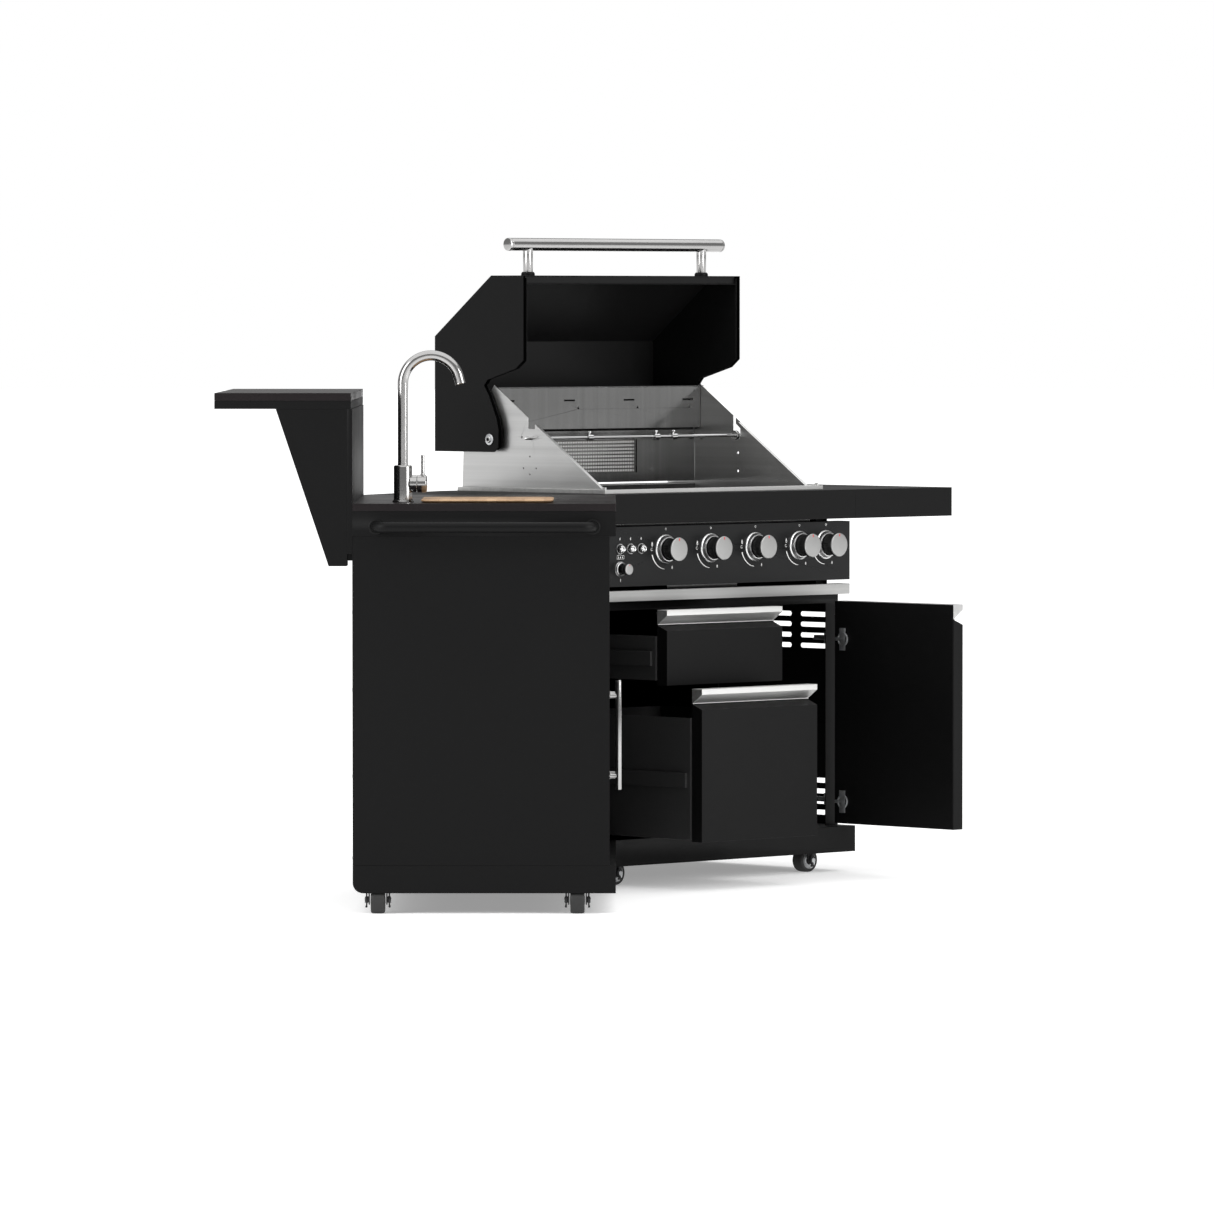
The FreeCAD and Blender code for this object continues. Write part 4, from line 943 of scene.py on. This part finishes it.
def make_fork(place_name):
    """Ball race, crown plate, two cheeks with their brake parts, and the axle's nuts."""
    axle, king, across = caster_axes(place_name)
    ahead = (king - axle).normalized()
    turn = Matrix((ahead, across, Vector((0, 0, 1)))).transposed().to_4x4()
    seat = Matrix.Translation((king.x, king.y, 0)) @ turn
    fork = "caster_fork_" + place_name
    bm = bmesh.new()
    race = [(5.3, 104.8), (5.3, 90), (21.5, 90), (22, 92), (21.6, 95.4), (19.6, 96.4), (19.6, 97.6),
            (21, 98.6), (21, 103), (19.8, 104.8)]
    lathe(bm, race, seat, 64, ring=True)
    block(bm, (54, 44, 4.4), seat @ Matrix.Translation(Vector((-9, 0, 90)) * MM), 1.6)
    for side in (-1, 1):
        wall = toward(seat @ (Vector((0, side * 19, 0)) * MM), seat.to_3x3() @ Vector((0, side, 0)))
        local = wall.inverted() @ seat
        arm = [(14, 90), (-33, 90), (-36, 60), (-35, 30), (-32, 23), (-25, 20), (-18, 23), (-14, 34),
               (-8, 58), (8, 78)]
        corners = [local @ (Vector((x, side * 19, z)) * MM) / MM for x, z in arm]
        plate(bm, [(p.x, p.y) for p in corners], 3, wall)
        lug = ((15, 8.4, 15), (-25, side * 26, 32), 2.2)
        lever = ((8, 3.6, 42), (-25, side * 26.4, 37), 1.2)
        pedal = ((12, 5, 5), (-25, side * 27, 16), 1.4)
        for size, centre, edge in (lug, lever, pedal):
            block(bm, size, seat @ Matrix.Translation(Vector(centre) * MM), edge)
        nut = toward(seat @ (Vector((-25, side * 30, 30)) * MM), seat.to_3x3() @ Vector((0, side, 0)))
        lathe(bm, rounded([(0, 0), (5.5, 0), (5.5, 1), (0, 1)], 0.5, 2), nut, 48, hexagon, material=1)
    piece(fork + "_pressed", bm, [caster_plastic, zinc], fork, [fork], seat, 40)


# %% Caster wheels
def make_wheel(place_name):
    """Tyre, disc and a boss at each side."""
    axle, _, across = caster_axes(place_name)
    wheel = "caster_wheel_" + place_name
    hub = toward(axle, across)
    bm = bmesh.new()
    tyre = [(22, -16.2), (25, -16.5), (27.6, -16), (29.2, -14.4), (29.8, -11), (30, -4), (30, 4),
            (29.8, 11), (29.2, 14.4), (27.6, 16), (25, 16.5), (22, 16.2)]
    lathe(bm, tyre, hub, 96, ring=True)
    disc = [(4.2, -14.4), (12, -15.6), (13.4, -14.6), (20.4, -14.6), (22.2, -15.8), (22.2, 15.8),
            (20.4, 14.6), (13.4, 14.6), (12, 15.6), (4.2, 14.4)]
    lathe(bm, disc, hub, 64, ring=True, material=1)
    for side in (-1, 1):
        boss = toward(axle + across * side * 15.2 * MM, across * side)
        lathe(bm, [(4.2, -1), (10.6, -1), (11.4, 0.2), (11, 1.4), (8, 2), (4.2, 2)], boss, 48, ring=True,
              material=2)
    piece(wheel + "_tyre", bm, [tyre_rubber, zinc, caster_plastic], wheel, [wheel], hub)


caster_places = [name[len("caster_roll_"):] for name in joints if name.startswith("caster_roll_")]
for place_name in caster_places:
    make_fork(place_name)
    make_wheel(place_name)
print("casters", caster_places)

# %% [markdown]
# ## Cutting board and spit
# The board covers the bowl. It is a bamboo slab with well rounded corners and a soft edge all round, so it
# is drawn as a stack of outlines, each a little smaller near the faces. The spit is a turned rod with three
# collars, each with a thumb screw, and a grooved spool at the end that sits in the cheek's slot.

# %% Cutting board
BOARD_S, BOARD_D, BOARD_T = (-888, -561), (145, 453), 8
board_place = Matrix.Translation(sink(sum(BOARD_S) / 2, sum(BOARD_D) / 2, WORKTOP)) @ TURN
half_s, half_d = (BOARD_S[1] - BOARD_S[0]) / 2, (BOARD_D[1] - BOARD_D[0]) / 2


def board_outline(inset, radius=42, steps=14):
    """The outline with round corners, drawn in by inset millimetres."""
    points = []
    for quarter, (x, y) in enumerate(((1, 1), (-1, 1), (-1, -1), (1, -1))):
        for k in range(steps + 1):
            a = math.pi / 2 * (quarter + k / steps)
            points.append((x * (half_s - radius) + (radius - inset) * math.cos(a),
                           y * (half_d - radius) + (radius - inset) * math.sin(a)))
    return points


# Height above the worktop and how far the edge has drawn in there.
layers = [(0.02, 12), (1.4, 7), (3, 3.2), (4.4, 1), (5.4, 0.1), (BOARD_T - 1.8, 0), (BOARD_T - 0.8, 0.8),
          (BOARD_T - 0.05, 2.6)]
bm = bmesh.new()
loops = [[bm.verts.new(board_place @ (Vector((x, y, z)) * MM)) for x, y in board_outline(inset)]
         for z, inset in layers]
for lower, upper in zip(loops, loops[1:]):
    for i in range(len(lower)):
        j = (i + 1) % len(lower)
        bm.faces.new((lower[i], lower[j], upper[j], upper[i]))
bm.faces.new(loops[0][::-1])
bm.faces.new(loops[-1])
piece("bamboo_board", bm, [board_wood], "cutting_board", ["cutting_board"], board_place, 60)
print("board", round(2 * half_s), "by", round(2 * half_d), "mm")

# %% Spit rod
low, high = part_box("spit_rod")
spit_y, spit_z = (low.y + high.y) / 2, (low.z + high.z) / 2
rod_axis = toward((low.x, spit_y, spit_z), (1, 0, 0))
length = (high.x - low.x) / MM
COLLARS = (218, 452, 514)
outline = [(0, 0), (1.6, 0), (4, 9)]
for start in COLLARS:
    outline += [(4, start - 0.5), (7.6, start - 0.5), (8.5, start + 0.4), (8.5, start + 5),
                (7.7, start + 5.8), (7.7, start + 10.2), (8.5, start + 11), (8.5, start + 15.6),
                (7.6, start + 16.5), (4, start + 16.5)]
outline += [(4, length - 29), (11.9, length - 29), (11.9, length - 26), (9.4, length - 25),
            (9.4, length - 22), (11.9, length - 21), (11.9, length - 19), (4, length - 19),
            (4, length - 1), (3.2, length), (0, length)]
bm = bmesh.new()
lathe(bm, outline, rod_axis, 64)
for start in COLLARS:
    top = toward((low.x + (start + 8) * MM, spit_y, spit_z + 0.006), (0, 0, 1))
    lathe(bm, rounded([(0, 0), (2.2, 0), (2.2, 5), (4.6, 5.6), (4.6, 9), (0, 9)], 0.5, 2), top, 32)
piece("spit_turned_rod", bm, [chrome], "spit", ["spit_rod"], rod_axis)
print("spit", round(length), "mm, spool at", round(length - 24))

# %% [markdown]
# ## Small fittings
# The last parts are the ones a fitter adds with a screwdriver. They are the radiant plate of the rear
# burner, the cups and arms of the two door hinges, the gas nipple with its hexagon and thread, and the
# screws that hold the back panels. Each stays a separate piece on the body that carries it.

# %% Rear burner plate
BURNER_U, BURNER_V, BURNER_Z = 408, 508, 1032.5
ROWS, COLUMNS, HOLE_PITCH = 9, 38, 8.8
plate_place = Matrix.Translation(grill(BURNER_U, BURNER_V, BURNER_Z))
bm = bmesh.new()
block(bm, (338, 3, 82), plate_place, 0.6)
for row in range(ROWS):
    for column in range(COLUMNS):
        hole = grill(BURNER_U + (column - (COLUMNS - 1) / 2) * HOLE_PITCH, BURNER_V - 1.5,
                     BURNER_Z + (row - (ROWS - 1) / 2) * HOLE_PITCH)
        lathe(bm, [(0, 0), (3, 0), (3.4, 0.5), (0, 0.5)], toward(hole, (0, -1, 0)), 8, material=1)
piece("rear_burner_plate", bm, [ceramic, rim_steel_painted_highlight], "cabinets", origin=plate_place)
print("burner holes", ROWS * COLUMNS)

# %% Gas nipple
BACK_FACE = 610
INLET_U, INLET_Z = 720, 752
THREAD_PITCH, THREAD_TURNS = 1.9, 9
bm = bmesh.new()
nipple = toward(grill(INLET_U, BACK_FACE, INLET_Z), (0, 1, 0))
flats = [(8.1, 0.3), (10.4, 0.3), (11, 0.9), (11, 8.4), (10.4, 9), (8.1, 9)]
lathe(bm, flats, nipple, 72, hexagon, ring=True)
thread = []
for k in range(THREAD_TURNS):
    climb = THREAD_PITCH * k
    thread += [(8.1, 12 + climb), (8.8, 12.8 + climb), (8.8, 13.1 + climb)]
lathe(bm, [(8.02, 11)] + thread + [(8.02, 29.6)], nipple, 48, ring=True)
piece("gas_nipple_thread", bm, [brass], "cabinets", origin=nipple)
print("thread turns", THREAD_TURNS)

# %% Door hinge cups
HINGE_Z = (175, 580)
CUP_V = -10
bm = bmesh.new()
door_inner_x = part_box("grill_door")[0].x
for z in HINGE_Z:
    seat = grill(0, CUP_V, z)
    seat.x = door_inner_x
    cup = toward(seat, (-1, 0, 0))
    flange = [(13, -2.6), (17.4, -2.6), (17.4, 0.5), (16.6, 1.1), (13.6, 1.1), (13, 0.5)]
    lathe(bm, flange, cup, 64, ring=True)
    block(bm, (1.2, 20, 56), Matrix.Translation(seat - Vector((0.3, 0, 0)) * MM), 0.4)
    block(bm, (3.4, 34, 9), Matrix.Translation(seat + Vector((0.7, 8, 0)) * MM), 1.2)
    for side in (-1, 1):
        screw = toward(seat + Vector((-0.1, 0, side * 23)) * MM, (-1, 0, 0))
        lathe(bm, [(0, 0), (3.6, 0), (3.4, 0.7), (1.4, 1), (1.2, 0.4), (0, 0.4)], screw, 24)
piece("grill_door_hinge_cups", bm, [zinc], "grill_door",
      origin=toward(grill(794, CUP_V, 377), (-1, 0, 0)))
print("hinges", len(HINGE_Z))

# %% Back panel screws
def screw_head(bm, point, out, radius=4.2):
    """A low round head with a socket in it."""
    head = [(0, 0), (radius, 0), (radius - 0.2, 0.8), (radius - 1.2, 1.7), (radius * 0.42, 2),
            (radius * 0.36, 0.9), (0, 0.9)]
    lathe(bm, head, toward(point, out), 24)


bm = bmesh.new()
SCREW_Z = (130, 320, 520, 700, 840)
TRAY_SLOT_U, TRAY_SLOT_LOW = (295, 553), 680
for u in (12, 424, 836):
    for z in SCREW_Z:
        if not TRAY_SLOT_U[0] < u < TRAY_SLOT_U[1] or z < TRAY_SLOT_LOW:
            screw_head(bm, grill(u, BACK_FACE, z), (0, 1, 0))
for s in (-906, -459, -12):
    for z in SCREW_Z:
        screw_head(bm, sink(s, BACK_FACE, z), -SINK_FRONT)
piece("back_panel_screws", bm, [zinc], "cabinets")
print("screw rows at", SCREW_Z)
